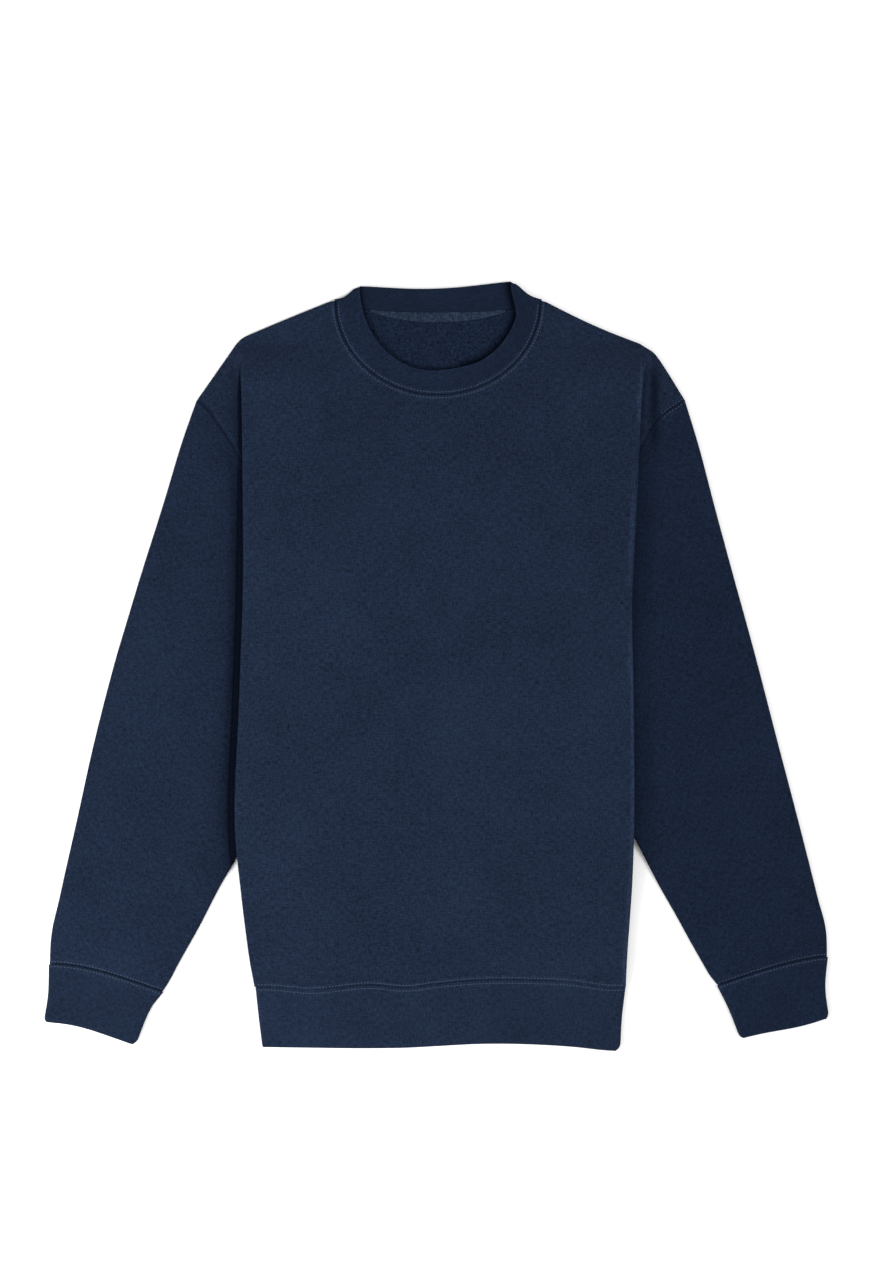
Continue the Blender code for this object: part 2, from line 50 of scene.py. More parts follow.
foldLength = layer / 2 * math.pi
curl = 1.5              # radius to which the shoulder edges bend down to their seam
backInset = 2.5         # how far the back's folded edges lie inside the front's
riseWidth = 60.0        # width over which the front climbs onto its folded-in sides
riseStart = 28.0
underarm = 3.0          # height at which the armhole ends and the side seam begins
turnIn = 16.0           # length over which the side seam turns in below it
bedLayers = 2           # fleece layers of the back that lie under a sleeve inside the body
hemY = -298.5           # where the body ends at the waistband
neckClear = 0.4         # clear space between the collar's ends and the shoulders
middleY = 1.56          # how far the laid-out sizes sit above the middle of the footprint


def table(columns, *rows):
    return dict(zip(columns.split(), np.array(rows, float).T))


neck = {"x": 1.0, "y": 340.0, "halfWidth": 95.0, "frontDrop": 86.0, "backDrop": 9.0}
rim = {"x": -1.6, "y": 357.1, "halfWidth": 70.6, "frontDrop": 81.1, "tilt": 2.2, "sag": 4.3,
       "endSag": 4.0, "endShape": 14}

# the front rim bulges to the right: how far out and down, the angle over which it starts, and where
# and over what angle it ends
bulge = {"out": 8.5, "down": 8.0, "start": 0.5, "last": 1.53, "end": 0.3}

edge = table("y left right",
             (-300, -170, 176), (-274, -174.5, 177), (-237, -179.5, 179.5), (-205, -183, 181.5),
             (-165, -187, 183), (-31, -184, 183), (75, -180.5, 181.5), (193, -181, 187.5),
             (260, -181.8, 191), (310, -182.5, 193))
pleat = table("y turn depth",
              (-300, 96, 0.5), (-290, 96, 0.5), (-280, 140, 1.5), (-266, 180, 7), (-250, 180, 16),
              (-190, 180, 40), (-60, 180, 78), (5, 180, 91), (52, 180, 67), (100, 180, 43.5),
              (205, 180, 18), (245, 180, 8), (258, 172, 3), (270, 130, 1), (285, 60, 1), (300, 0, 1))
armhole = table("y left right",
                (0, -94, 93.5), (52, -116, 117), (100, -138, 139), (150, -163, 163),
                (204, -189.5, 190.5), (228, -206, 204), (240, -214.5, 218), (247, -223.5, 229.5))
foldStack = table("y layers",
                  (-300, 1.6), (-290, 1.6), (-280, 2.5), (-250, 2.6), (-205, 4), (0, 4))
shoulder = {"left": {"bend": (-181.0, 304.8), "endY": 246.5, "curve": 1.0, "swell": 0.4,
                     "lean": 0.59, "leanSpan": 9.5, "leanBend": 0.9},
            "right": {"bend": (192.0, 298.0), "endY": 247.5, "curve": 1.42, "swell": -2.2,
                      "lean": 0.6, "leanSpan": 60.0, "leanBend": 0.0}}
sleeveCut = {
    "left": table("outerX outerY innerX innerY bow",
                  (-225, 246, -93, 2, 1), (-236, 214, -107, -24, 0.75), (-254, 155, -130, -68, 0.4),
                  (-277.5, 81, -158, -122, 0.15), (-289, 43, -173, -151, 0.05), (-300, 6, -187, -178, 0),
                  (-319.5, -69, -204, -208, 0), (-336, -143, -222, -243, 0), (-352, -214, -241, -277, 0),
                  (-360.5, -255, -251, -295.5, 0), (-361.5, -277, -256, -303, 0)),
    "right": table("outerX outerY innerX innerY bow",
                   (231, 246, 95, 2, 1), (242, 212, 109, -22, 0.75), (258, 152, 133, -66, 0.4),
                   (279, 75, 161, -118, 0.15), (288.5, 41, 176, -145, 0.05), (298, 6, 189, -169, 0),
                   (317.5, -69, 206, -202, 0), (337, -143, 224, -234, 0), (355, -214, 244, -270, 0),
                   (363.5, -250, 256, -290, 0), (364, -270, 262, -297, 0))}
cuffCut = {
    "left": table("outerX outerY innerX innerY bow",
                  (-361.5, -277, -256, -303, 0), (-363, -304, -267, -319, 2),
                  (-367, -330.5, -281, -353, 3)),
    "right": table("outerX outerY innerX innerY bow",
                   (364, -270, 262, -297, 0), (362.5, -296, 271, -317, 2), (366, -328, 283, -347, -1))}
cuffBow = {"left": 4.5, "right": 3.0, "shape": 0.75}   # how the cuff seams bow
cuffWave = {"left": 0.5, "right": -0.6}   # how the folded end of each cuff waves
hem = table("x seam bottom",
            (-180, -298.5, -354.5), (-155, -298.5, -355), (-120, -301.5, -355.5), (-60, -297, -356),
            (-28, -299.5, -355.5), (0, -296, -354), (40, -292.5, -352), (90, -292.5, -352.5),
            (130, -294.5, -355), (158, -298.5, -358), (180, -298.5, -359))
hemSides = table("across left right", (0, -169.5, 176), (0.5, -166.5, 172.5), (1, -163, 171))
sides = (("left", -1), ("right", 1))


def smooth(t):
    t = np.clip(t, 0, 1)
    return t * t * (3 - 2 * t)


def follow(xValues, yValues, x):
    # a smooth curve through the points of a table, held level past its ends
    slopes = np.gradient(yValues, xValues)
    x = np.clip(x, xValues[0], xValues[-1])
    i = np.clip(np.searchsorted(xValues, x) - 1, 0, len(xValues) - 2)
    width = xValues[i + 1] - xValues[i]
    t = (x - xValues[i]) / width
    start = (1 + 2 * t) * (1 - t) ** 2 * yValues[i] + t * (1 - t) ** 2 * width * slopes[i]
    end = t * t * (3 - 2 * t) * yValues[i + 1] + t * t * (t - 1) * width * slopes[i + 1]
    return start + end


def unit(vectors):
    return vectors / np.maximum(np.linalg.norm(vectors, axis=-1, keepdims=True), 1e-9)


def refine(grid, counts, axis):
    # more points along one axis of a grid, on smooth curves through the ones it has
    grid = np.moveaxis(grid, axis, 0)
    steps = np.linalg.norm(np.diff(grid, axis=0), axis=-1)
    walked = np.concatenate(([0], np.cumsum(steps.reshape(len(steps), -1).mean(axis=1))))
    slopes = np.gradient(grid, walked, axis=0)
    parts = []
    for i, count in enumerate(counts):
        width = walked[i + 1] - walked[i]
        for t in np.arange(count) / count:
            parts.append((1 + 2 * t) * (1 - t) ** 2 * grid[i] + t * (1 - t) ** 2 * width * slopes[i]
                         + t * t * (3 - 2 * t) * grid[i + 1] + t * t * (t - 1) * width * slopes[i + 1])
    parts.append(grid[-1])
    return np.moveaxis(np.array(parts), 0, axis)


def stepCounts(grid, axis, spacing):
    steps = np.linalg.norm(np.diff(grid, axis=axis), axis=-1)
    longest = np.moveaxis(steps, axis, 0).reshape(steps.shape[axis], -1).mean(axis=1)
    return [max(1, math.ceil(length / spacing)) for length in longest]


# how a panel's side folds: least turn and depth, most and least of it past the fold, the height from
# which it follows the shoulder, and the steps round it, coarse to find its height and fine to draw it
fold = {"leastTurn": 0.2, "leastDepth": 0.5, "mostTab": 2.0, "leastTab": 0.3, "shoulderFrom": 150.0,
        "coarse": (4, 1, 3, 2), "fine": (8, 4, 6, 14)}


def arcLength(turn, y):
    # cloth that goes round a folded edge, less of it where the side fold runs out at the hem
    return foldLength if y > underarm else foldLength * max(turn / math.pi, fold["leastTurn"])


def pleatAt(name, y):
    return np.interp(y, pleat["y"], pleat[name])


def sideEdge(side, y):
    return abs(follow(edge["y"], edge[side], y))


def armholeY(side, y):
    bendY, start = shoulder[side]["bend"][1], fold["shoulderFrom"]
    return y - (bendY - shoulder[side]["endY"]) * smooth((y - start) / (bendY - start))


def foldHeight(y):
    return sideFold("left", max(y, underarm), 0.0)[-1][1]


def frontStack(y):
    if y < underarm:
        return layer * follow(foldStack["y"], foldStack["layers"], y)
    return 2 * foldHeight(y)


def sideFold(side, y, inset, steps=fold["coarse"]):
    # section of a panel's folded side, from its folded edge to its seam, in steps round the edge,
    # to the inner crease, round it, and on to the seam
    turn = math.radians(pleatAt("turn", y))
    at = [sideEdge(side, y) - inset - fleeceWall / 2 - layer / 2, 0.0]
    under = smooth((underarm - y) / turnIn)
    points = [(at[0], at[1], 0.0)]

    def walk(length, start, end, count, last=0.0):
        for step in range(count):
            heading = start + (end - start) * (step + 0.5) / count
            at[0] += length / count * math.cos(heading)
            at[1] += length / count * math.sin(heading)
            points.append((at[0], at[1], last * (step + 1) / count))

    walk(arcLength(turn, y), 0, turn, steps[0])
    walk(max(pleatAt("depth", y) - inset, fold["leastDepth"]), turn, turn, steps[1])
    heading = under * math.pi / 2
    walk(arcLength(turn - heading, y), turn, heading, steps[2])
    if under > 0:
        room = (layer + frontStack(y) - seamGap - fleeceWall * math.cos(heading)) / 2 - at[1]
        length = min(room / math.sin(heading), fold["mostTab"])
    else:
        length = abs(follow(armhole["y"], armhole[side], armholeY(side, y))) - at[0]
    walk(max(length, fold["leastTab"]), heading, heading, steps[3], 1.0)
    return points


fleece = {
    "rowSpacing": 3.0, "shoulderSteps": 26, "neckSteps": 84,
    "closeRows": (0, 0.7, 1.4, 2.1, 2.9, 3.8, 5.0, 6.6), "firstRow": 8.6,    # rows near the seams
    # how far out and down the shoulder edges bend, and how thick they stay
    "seamCurl": ((0.35, 0.08, 0.95), (0.6, 0.25, 0.85), (0.85, 0.45, 0.75), (0.97, 0.62, 0.65),
                 (1, 1, 0.6)),
    "sleeveRing": 2.8, "sleeveAcross": 3.3,
    "sleeveLevel": {"left": 0.0, "right": 1.0},    # how far a sleeve stays level outside the body's edge
    "sleeveDrop": {"left": 7.0, "right": 16.0},    # width over which it then comes down
    "puff": {"left": 4.2, "right": 2.6},           # how far the middle of a sleeve stands up
    "puffStart": {"left": 5.5, "right": 5.0},      # where it begins outside the body's edge
    "puffWidth": {"left": 9.0, "right": 26.0},
    "puffFade": 14,                                # rows over which it begins at each end
    "armholeLap": -0.4, "underarmClear": 3.5,      # how far a sleeve laps the armhole, and ends short of it
    "creaseFrom": 3, "creaseFade": 22,             # where the front's creases begin inside its edge
    "settleAtHem": 1.5, "hemSettling": 34,         # how far it comes down onto the waistband, over what
    "settleAtNeck": 80.0,                          # width over which it comes down to meet the collar
    "bridge": 0.62,                                # share of its sides' height that its middle keeps
}


def sleeveBed(side, x, y):
    outside = np.abs(x) - sideEdge(side, y) - fleece["sleeveLevel"][side]
    return bedLayers * layer * (1 - smooth(outside / fleece["sleeveDrop"][side]))


def neckPoint(angle, across, front):
    # a place on the collar, at an angle round the neck and a share of the way across the band
    turn = np.sin(angle)
    if front:
        seamDip, rimDip = neck["frontDrop"] * np.cos(angle), rim["frontDrop"] * np.cos(angle)
    else:
        seamDip = neck["backDrop"] * (1 - np.abs(turn) ** 3)
        rimDip = rim["sag"] * np.abs(np.cos(angle)) ** 3
    seam = np.stack([neck["x"] + neck["halfWidth"] * turn, neck["y"] - seamDip], axis=-1)
    top = np.stack([rim["x"] + rim["halfWidth"] * turn, rim["y"] + rim["tilt"] * turn - rimDip], axis=-1)
    if front:
        share = smooth(angle / bulge["start"]) * smooth((bulge["last"] - angle) / bulge["end"])
        top = top + np.stack([bulge["out"] * share, -bulge["down"] * share * turn ** 2], axis=-1)
    endSag = rim["endSag"] * math.sin(math.pi * across) * np.abs(turn) ** rim["endShape"]
    return seam + (top - seam) * across - np.stack([0 * turn, endSag], axis=-1)


def panelTop(front):
    # the upper edge of a panel, from one shoulder bend to the other
    points, ends = [], []
    for side, sign in sides:
        bendX, bendY = shoulder[side]["bend"]
        ends.append((neck["x"] + sign * (neck["halfWidth"] + neckClear + curl), neck["y"]))
        t = np.arange(fleece["shoulderSteps"]) / fleece["shoulderSteps"]
        swell = shoulder[side]["swell"] * np.sin(math.pi * t)
        x, y = bendX + (ends[-1][0] - bendX) * t, bendY + (neck["y"] - bendY) * t + swell
        points.append(np.stack([x, y], axis=-1))
    seam = neckPoint(math.pi * (np.arange(fleece["neckSteps"] + 1) / fleece["neckSteps"] - 0.5), 0, front)
    along = unit(np.gradient(seam, axis=0))
    neckline = seam + np.stack([along[:, 1], -along[:, 0]], axis=-1) * (seamGap + curl)
    neckline[0], neckline[-1] = ends
    if not front:
        neckline[1:-1, 1] = np.minimum(neckline[1:-1, 1], neck["y"])
    return np.concatenate([points[0], neckline, points[1][::-1]])


def distanceTo(line, x, y):
    # shortest way from each point to a line of points
    spots = np.stack([np.ravel(x), np.ravel(y)], axis=-1)
    best = np.full(len(spots), 1e9)
    for a, b in zip(line[:-1], line[1:]):
        way = b - a
        t = np.clip(((spots - a) @ way) / max(way @ way, 1e-9), 0, 1)
        best = np.minimum(best, np.linalg.norm(spots - a - t[:, None] * way, axis=1))
    return best.reshape(np.shape(x))


creaseEnds = 0.35    # share of a crease over which it rises at each end


def softCreases(rows, x, y):
    # soft ridges and troughs, each from one place to another with its own width, height and bow
    height = np.zeros(np.shape(x))
    for startX, startY, endX, endY, width, rise, bow in rows:
        way = np.array([endX - startX, endY - startY])
        length = np.linalg.norm(way)
        way = way / length
        along = ((x - startX) * way[0] + (y - startY) * way[1]) / length
        aside = (x - startX) * -way[1] + (y - startY) * way[0]
        aside = aside - bow * np.sin(math.pi * np.clip(along, 0, 1))
        fade = smooth(along / creaseEnds) * smooth((1 - along) / creaseEnds)
        height += rise * fade * np.exp(-(aside / width) ** 2)
    return height


roll = {"ditchWidth": 1.0, "ridgeAt": 3.4, "ridgeWidth": 1.7, "dip": 0.45, "dipAt": 7.5, "dipWidth": 2.6}
# depth of the ditch and height of the ridge at each seam
rolls = {"armhole": (0.7, 0.5), "sleeveEnd": (0.15, 0.8), "band": (0.2, 0.6), "collar": (0.9, 0.45),
         "neck": (1.0, 0.8), "hem": (0.3, 0.9)}


def seamRoll(distance, ditch, ridge):
    # cloth dips into a seam, puffs up beside its stitches and dips a little beyond
    return (-ditch * np.exp(-(distance / roll["ditchWidth"]) ** 2)
            + ridge * np.exp(-((distance - roll["ridgeAt"]) / roll["ridgeWidth"]) ** 2)
            - roll["dip"] * ridge * np.exp(-((distance - roll["dipAt"]) / roll["dipWidth"]) ** 2))


# startX startY endX endY width rise bow
frontCreases = (
    (-128, 60, -120, -290, 26, 1.1, 4), (-63, 40, -66, -296, 13, -0.5, -3),
    (-36, 30, -44, -280, 17, 0.9, 5), (-150, 190, -168, -250, 22, 0.9, 3),
    (20, 210, 70, -240, 48, 0.7, -12), (150, 175, 128, -40, 20, -0.35, 6),
    (128, 120, 155, -270, 24, 0.8, -5), (-140, 262, -40, 205, 20, 0.6, -5), (150, 262, 70, 215, 18, 0.6, 4),
    (-95, 92, 120, 86, 5, 0.22, 2), (-72, -250, -60, -298, 9, 0.5, 0), (64, -240, 70, -296, 12, 0.6, 1),
    (-168, 120, -120, 40, 16, 0.5, 4), (92, -150, 176, -230, 22, 0.6, 3), (10, 252, 62, 268, 7, 0.45, -2),
    (-20, 232, 30, 150, 24, 0.5, 6))
sleeveCreases = {
    "left": ((-236, 180, -318, -150, 22, 1.6, 8), (-212, 60, -262, -180, 16, 1.2, -5),
             (-330, -120, -352, -270, 12, 1.0, 2), (-345, -262, -300, -276, 5, -0.8, -2),
             (-352, -236, -305, -262, 8, 0.9, -3), (-270, -230, -262, -296, 9, 0.7, 2),
             (-300, -262, -286, -292, 6, 0.6, 1), (-225, 205, -200, 150, 9, 0.8, -3),
             (-322, -200, -262, -250, 12, 0.5, 4)),
    "right": ((240, 190, 318, -150, 24, 1.3, -8), (214, 60, 268, -190, 17, 0.9, 5),
              (332, -110, 352, -260, 13, 0.8, -2), (348, -248, 300, -272, 7, 0.7, 2),
              (274, -226, 268, -288, 9, 0.6, -2), (225, 212, 206, 120, 10, 1.0, 4),
              (312, -250, 298, -286, 6, 0.5, 0), (212, 130, 236, 30, 9, -0.5, -3))}


def frontHeight(x, y):
    # height of the front on what lies under it, over its folded-in sides and between them
    stackY = np.linspace(-300, 306, 160)
    stackAt = np.interp(y, stackY, [frontStack(v) for v in stackY])
    crease = np.where(x < 0, sideEdge("left", y), sideEdge("right", y)) - pleatAt("depth", y)
    climb = smooth((np.abs(x) - crease + riseWidth + riseStart) / riseWidth)
    bridge = fleece["bridge"] * smooth((distanceTo(neckLine, x, y) - 3) / fleece["settleAtNeck"])
    return stackAt * (bridge + (1 - bridge) * climb)


def panelGrid(front):
    # middle surface of the front or the back, as rows of points from the hem to the shoulder
    top = panelTop(front)
    inset = 0.0 if front else backInset
    steps = np.linalg.norm(np.diff(panelTop(True), axis=0), axis=1)
    even = np.concatenate(([0], np.cumsum(steps))) / steps.sum()
    length = shoulder["left"]["bend"][1] - hemY
    close, edgeRow = np.array(fleece["closeRows"]) / length, fleece["firstRow"] / length
    spread = np.linspace(edgeRow, 1 - edgeRow, int(length / fleece["rowSpacing"]))
    rows = []
    for share in np.concatenate((close, spread, 1 - close[::-1])):
        ends = [sidePoints(side, sign, share, inset, front) for side, sign in sides]
        leftX, rightX = ends[0][0][0] - inset, ends[1][0][0] + inset
        x = leftX + (rightX - leftX) * even[1:-1]
        x = x + (top[1:-1, 0] - x) * smooth(share) ** 2
        low = follow(hem["x"], hem["seam"], x) + seamGap
        y = low + share * (top[1:-1, 1] - low)
        z = fleeceWall / 2 + (layer + frontHeight(x, y) if front else np.zeros(len(x)))
        rows.append(np.concatenate([ends[0][::-1], np.stack([x, y, z], axis=-1), ends[1]]))
    rows = np.array(rows)
    return np.concatenate([rows, shoulderCurl(rows[-1], top, front)])


def sidePoints(side, sign, share, inset, front):
    # points of one row of a panel, from its folded edge to its armhole or side seam
    low, high = hemY + seamGap, shoulder[side]["bend"][1]
    y = low + share * (high - low)
    fall = y - armholeY(side, y)
    section = sideFold(side, y, inset, fold["fine"])
    start = section[0][0]
    stackHere = frontStack(y)
    shape = shoulder[side]
    flatness = (1 + math.cos(math.radians(pleatAt("turn", y)))) / 2 * (y > fold["shoulderFrom"])
    points = []
    for out, below, done in section:
        x = sign * out
        leant = min(out - start, shape["leanSpan"])
        lean = shape["lean"] * flatness * leant * (1 + shape["leanBend"] * leant / shape["leanSpan"])
        pointY = y - fall * done ** shape["curve"] - lean * (1 - done)
        lowered = 0.0
        if done > 0 and y > underarm:
            lowered = section[-1][1] * (1 - sleeveBed(side, x, pointY) / (bedLayers * layer))
        z = fleeceWall / 2 + (layer + stackHere - below if front else below) - lowered
        points.append((x, pointY, z))
    return np.array(points)


def shoulderCurl(row, top, front):
    # last rows of a panel, which bend its shoulder edges towards the other panel
    along = np.gradient(row[:, :2], axis=0)
    outwards = unit(np.stack([-along[:, 1], along[:, 0]], axis=-1))
    ends = (len(row) - len(top)) // 2 + fleece["shoulderSteps"]
    bends = np.full(len(row), -1.0 if front else 1.0)
    bends[ends:-ends] = 0
    rows = []
    for out, down, wall in fleece["seamCurl"]:
        rise = bends * down * (layer - seamGap) / 2
        flat = row[:, :2] + outwards * out * curl
        rows.append(np.concatenate([flat, (row[:, 2] + rise)[:, None]], axis=1))
    return rows


def armholeLine(side):
    y = np.linspace(0, shoulder[side]["endY"], 60)[::-1]
    return np.stack([follow(armhole["y"], armhole[side], y), y], axis=-1)


def tableEnds(rows, k):
    # the outer and the inner end of a row of a sleeve or cuff table
    return [np.array([rows[end + "X"][k], rows[end + "Y"][k]]) for end in ("outer", "inner")]


def sleeveRows(side, sign):
    # flat rows of points across a sleeve, from the armhole to the cuff seam
    rows = sleeveCut[side]
    line = armholeLine(side)
    line = np.concatenate([line[::2], line[-1:]])
    walked = np.concatenate(([0], np.cumsum(np.linalg.norm(np.diff(line, axis=0), axis=1))))
    share = (walked / walked[-1])[:, None]
    bow = line - line[0] - (line[-1] - line[0]) * share
    sections = []
    for k, bowed in enumerate(rows["bow"]):
        outer, inner = tableEnds(rows, k)
        way = unit(inner - outer) * (fleeceWall + layer) / 2
        start, end = outer + way, inner - way
        flat = start + (end - start) * share + bow * bowed
        if bowed == 1:
            away = unit(end - start) @ np.array([[0, 1], [-1, 0]]) * sign
            flat = line + away * fleece["armholeLap"]
            flat[-1] += away * fleece["underarmClear"]
        rise = cuffBow[side] * np.sin(math.pi * share[:, 0] ** cuffBow["shape"])
        flat[:, 1] += rise * smooth((k - len(rows["bow"]) + 3) / 2)
        sections.append(flat)
    return np.array(sections)


def flatRing(line, radius, bed, topRise, facets=6):
    # close a flattened tube round rows of points: top, far edge, bottom and near edge
    x, y = line[..., 0], line[..., 1]
    parts = [np.stack([x, y, bed(x, y) + 2 * radius + topRise], axis=-1)]
    for corner, beside, sign in ((-1, -2, 1), (0, 1, -1)):
        way = unit(line[:, corner] - line[:, beside])
        if sign < 0:
            parts.append(np.stack([x, y, bed(x, y)], axis=-1)[:, ::-1])
        for angle in math.pi * np.arange(1, facets) / facets:
            spot = line[:, corner] + way * radius * math.sin(angle)
            height = bed(spot[:, 0], spot[:, 1]) + radius * (1 + math.cos(angle) * sign)
            parts.append(np.stack([spot[:, 0], spot[:, 1], height], axis=-1)[:, None])
    return np.concatenate(parts, axis=1)


def closeRows(grid, near):
    # extra rows close to the first and last one, for the roll of cloth into a seam
    head = [grid[0] + (grid[1] - grid[0]) * t for t in (0,) + near]
    tail = [grid[-1] + (grid[-2] - grid[-1]) * t for t in near[::-1] + (0,)]
    return np.concatenate([head, grid[1:-1], tail])


def sleeveGrid(side, sign):
    flat = sleeveRows(side, sign)
    flat = refine(flat, stepCounts(flat, 0, fleece["sleeveRing"]), 0)
    flat = refine(flat, stepCounts(flat, 1, fleece["sleeveAcross"]), 1)
    flat = closeRows(flat, (0.22, 0.45, 0.7))
    x, y = flat[..., 0], flat[..., 1]
    outside = np.abs(x) - sideEdge(side, y)
    clear = smooth((outside - fleece["puffStart"][side]) / fleece["puffWidth"][side])
    rounded = 1 - np.abs(np.linspace(-1, 1, flat.shape[1])) ** 3
    puff = (softCreases(sleeveCreases[side], x, y) + fleece["puff"][side] * rounded) * clear
    ends = np.minimum(np.arange(len(flat)), np.arange(len(flat))[::-1])
    armholeRoll = seamRoll(distanceTo(armholeLine(side), x, y), *rolls["armhole"]) * smooth(outside / 6)
    cuffRoll = seamRoll(distanceTo(flat[-1], x, y), *rolls["sleeveEnd"])
    rise = puff * smooth(ends / fleece["puffFade"])[:, None] + armholeRoll + cuffRoll
    return flatRing(flat, layer / 2, lambda a, b: sleeveBed(side, a, b) + fleeceWall / 2, rise)


paintedLightAmounts = {
    # painted shade in the groove left of the body: where it starts, its width there, and how much it widens,
    # from where and over what length
    "grooveStart": 286.0, "grooveWidth": 0.8, "grooveGrowth": ((3.2, 0, 38), (4.2, 55, 150)),
    "grooveSide": 0.95, "besideGroove": 0.42, "besideWidth": 9.0, "ramp": 1.2,
    # the painted shade right of it, and the ends of the dimple's painted shade in it
    "dimpleEnds": (196, 288), "dimpleFade": 26, "rightStart": 280, "ridgeStart": 290, "ridgeWidth": 0.75,
    "besideRight": 0.22, "rightWidth": 30.0, "dimple": 0.72, "dimpleX": 202.0, "dimpleWidth": 5.0,
    # painted highlights along the body's right edge, beside the seams and on the collar's rim; painted shade
    # in the seams and under the collar's rim
    "edgeHighlight": -0.75, "seamWidth": 0.7, "seamHighlight": -0.25, "rimHighlight": -0.3,
    "collarRight": 0.85, "collarRightWidth": 6.0, "collarLeft": 0.5, "collarLeftWidth": 2.6,
    "collarSeam": 0.85, "bandSeam": 0.0, "armholeSeam": 0.7, "collarTurn": 0.3, "backTop": 3.5,
}


def bell(away, width, power=2):
    return np.exp(-(away / width) ** power)


def paintedShadeAndHighlights(grid, seams):
    # painted shade for each point, to 1, where shade falls in the hollows beside the body, in its seams and
    # under the collar, and painted highlight, as less than nothing, where light catches a raised edge
    x, y = grid[..., 0], grid[..., 1]
    left, right = -x - sideEdge("left", y), x - sideEdge("right", y)
    # painted shade in the groove left of the body and beside it
    start = paintedLightAmounts["grooveStart"] - y
    width = paintedLightAmounts["grooveWidth"] + 0 * y
    for more, begin, span in paintedLightAmounts["grooveGrowth"]:
        width = width + more * smooth((start - begin) / span)
    fade = 0.8 + 0.25 * width
    groove = paintedLightAmounts["grooveSide"] * (1 - smooth((left - width + fade / 2) / fade)) * smooth(start / 12)
    beside = paintedLightAmounts["besideGroove"] * np.exp(-np.maximum(left - width, 0) / paintedLightAmounts["besideWidth"])
    paintedShade = np.maximum(groove, beside * smooth(start / 60))
    paintedShade = paintedShade * smooth((left + paintedLightAmounts["ramp"]) / paintedLightAmounts["ramp"])
    # right of the body, painted shade of a short dimple lies under the shoulder, in a faint wide painted
    # shade
    dimple = bell(x - paintedLightAmounts["dimpleX"], paintedLightAmounts["dimpleWidth"])
    low, high = paintedLightAmounts["dimpleEnds"]
    dimple = dimple * smooth((high - y) / paintedLightAmounts["dimpleFade"]) * smooth((y - low) / paintedLightAmounts["dimpleFade"])
    far = paintedLightAmounts["besideRight"] * (1 - smooth(right / paintedLightAmounts["rightWidth"]))
    far = far * smooth((paintedLightAmounts["rightStart"] - y) / 40)
    paintedShadeRight = np.maximum(far, paintedLightAmounts["dimple"] * dimple) * smooth(right / paintedLightAmounts["ramp"])
    paintedShade = np.where(x < 0, paintedShade, paintedShadeRight)
    # a painted highlight along the body's right folded edge
    paintedHighlight = paintedLightAmounts["edgeHighlight"] * bell(right + 2.0, paintedLightAmounts["ridgeWidth"]) * (right < 0.8)
    paintedHighlight = paintedHighlight * smooth((paintedLightAmounts["ridgeStart"] - y) / 20)
    # painted shade in each seam, and a painted highlight beside it
    for key, seam in seams:
        away = distanceTo(seam, x, y)
        shown = np.where(x < 0, left, right) > 1 if key == "armholeSeam" else 1
        paintedShade = np.maximum(paintedShade, paintedLightAmounts[key] * bell(away, paintedLightAmounts["seamWidth"]) * shown)
        paintedHighlight = paintedHighlight + paintedLightAmounts["seamHighlight"] * bell(away - 2.6, 1.1) * shown
    # painted shade on the back under the collar's rim, and a painted highlight along the rim
    for key, end in (("collarRight", math.pi / 2), ("collarLeft", -math.pi / 2)):
        angles = np.linspace(*sorted((paintedLightAmounts["collarTurn"], end)), 30)
        away = distanceTo(neckPoint(angles, 1, True), x, y)
        under = grid[..., 2] < paintedLightAmounts["backTop"]    # on the back, below the front of the collar
        paintedShade = np.maximum(paintedShade, paintedLightAmounts[key] * bell(away, paintedLightAmounts[key + "Width"], 3) * under)
        paintedHighlight = paintedHighlight + paintedLightAmounts["rimHighlight"] * bell(away - 0.4, 0.9) * ~under * (y > 268)
    return np.clip(paintedShade + paintedHighlight, -1, 1)


ribs = {"pitch": 2.3, "depth": 0.13, "acrossSteps": 4, "rowSpacing": 2.2, "cuffLength": 51.0,
        "hemLength": 58.0, "cornerTurn": 0.86,
        "endThin": 0.9, "endReach": 5, "puff": 0.5, "puffReach": 20, "farthest": 30,    # a band's upper side
        "corner": {"left": (4.5, 5.0), "right": (5.0, 4.5), "hem": (2.0, 7.5)}}


def cornerInset(toEnd, radius):
    # how far a rounded corner pulls the edge in, at a distance from the band's end
    short = np.clip(radius - toEnd, 0, ribs["cornerTurn"] * radius)
    return radius - np.sqrt(radius ** 2 - short ** 2)


def endRows(length, spacing):
    # shares across a band: close at the seam and at the folded end
    near = np.array((0, 0.7, 1.4, 2.1, 2.9, 3.8, 5.0))
    far = np.array((6.5, 5.0, 3.8, 2.8, 2.0, 1.3, 0.7, 0.3, 0.0))
    middle = np.linspace(6.5, length - 8.5, int((length - 15) / spacing))
    return np.concatenate([near, middle, length - far]) / length


def evenly(line, spacing):
    # points at even steps along a curve through a row of points
    fine = refine(line, stepCounts(line, 0, 0.5), 0)
    walked = np.concatenate(([0], np.cumsum(np.linalg.norm(np.diff(fine, axis=0), axis=1))))
    at = np.linspace(0, walked[-1], max(2, round(walked[-1] / spacing) + 1))
    return np.stack([np.interp(at, walked, fine[:, k]) for k in range(fine.shape[1])], axis=-1)


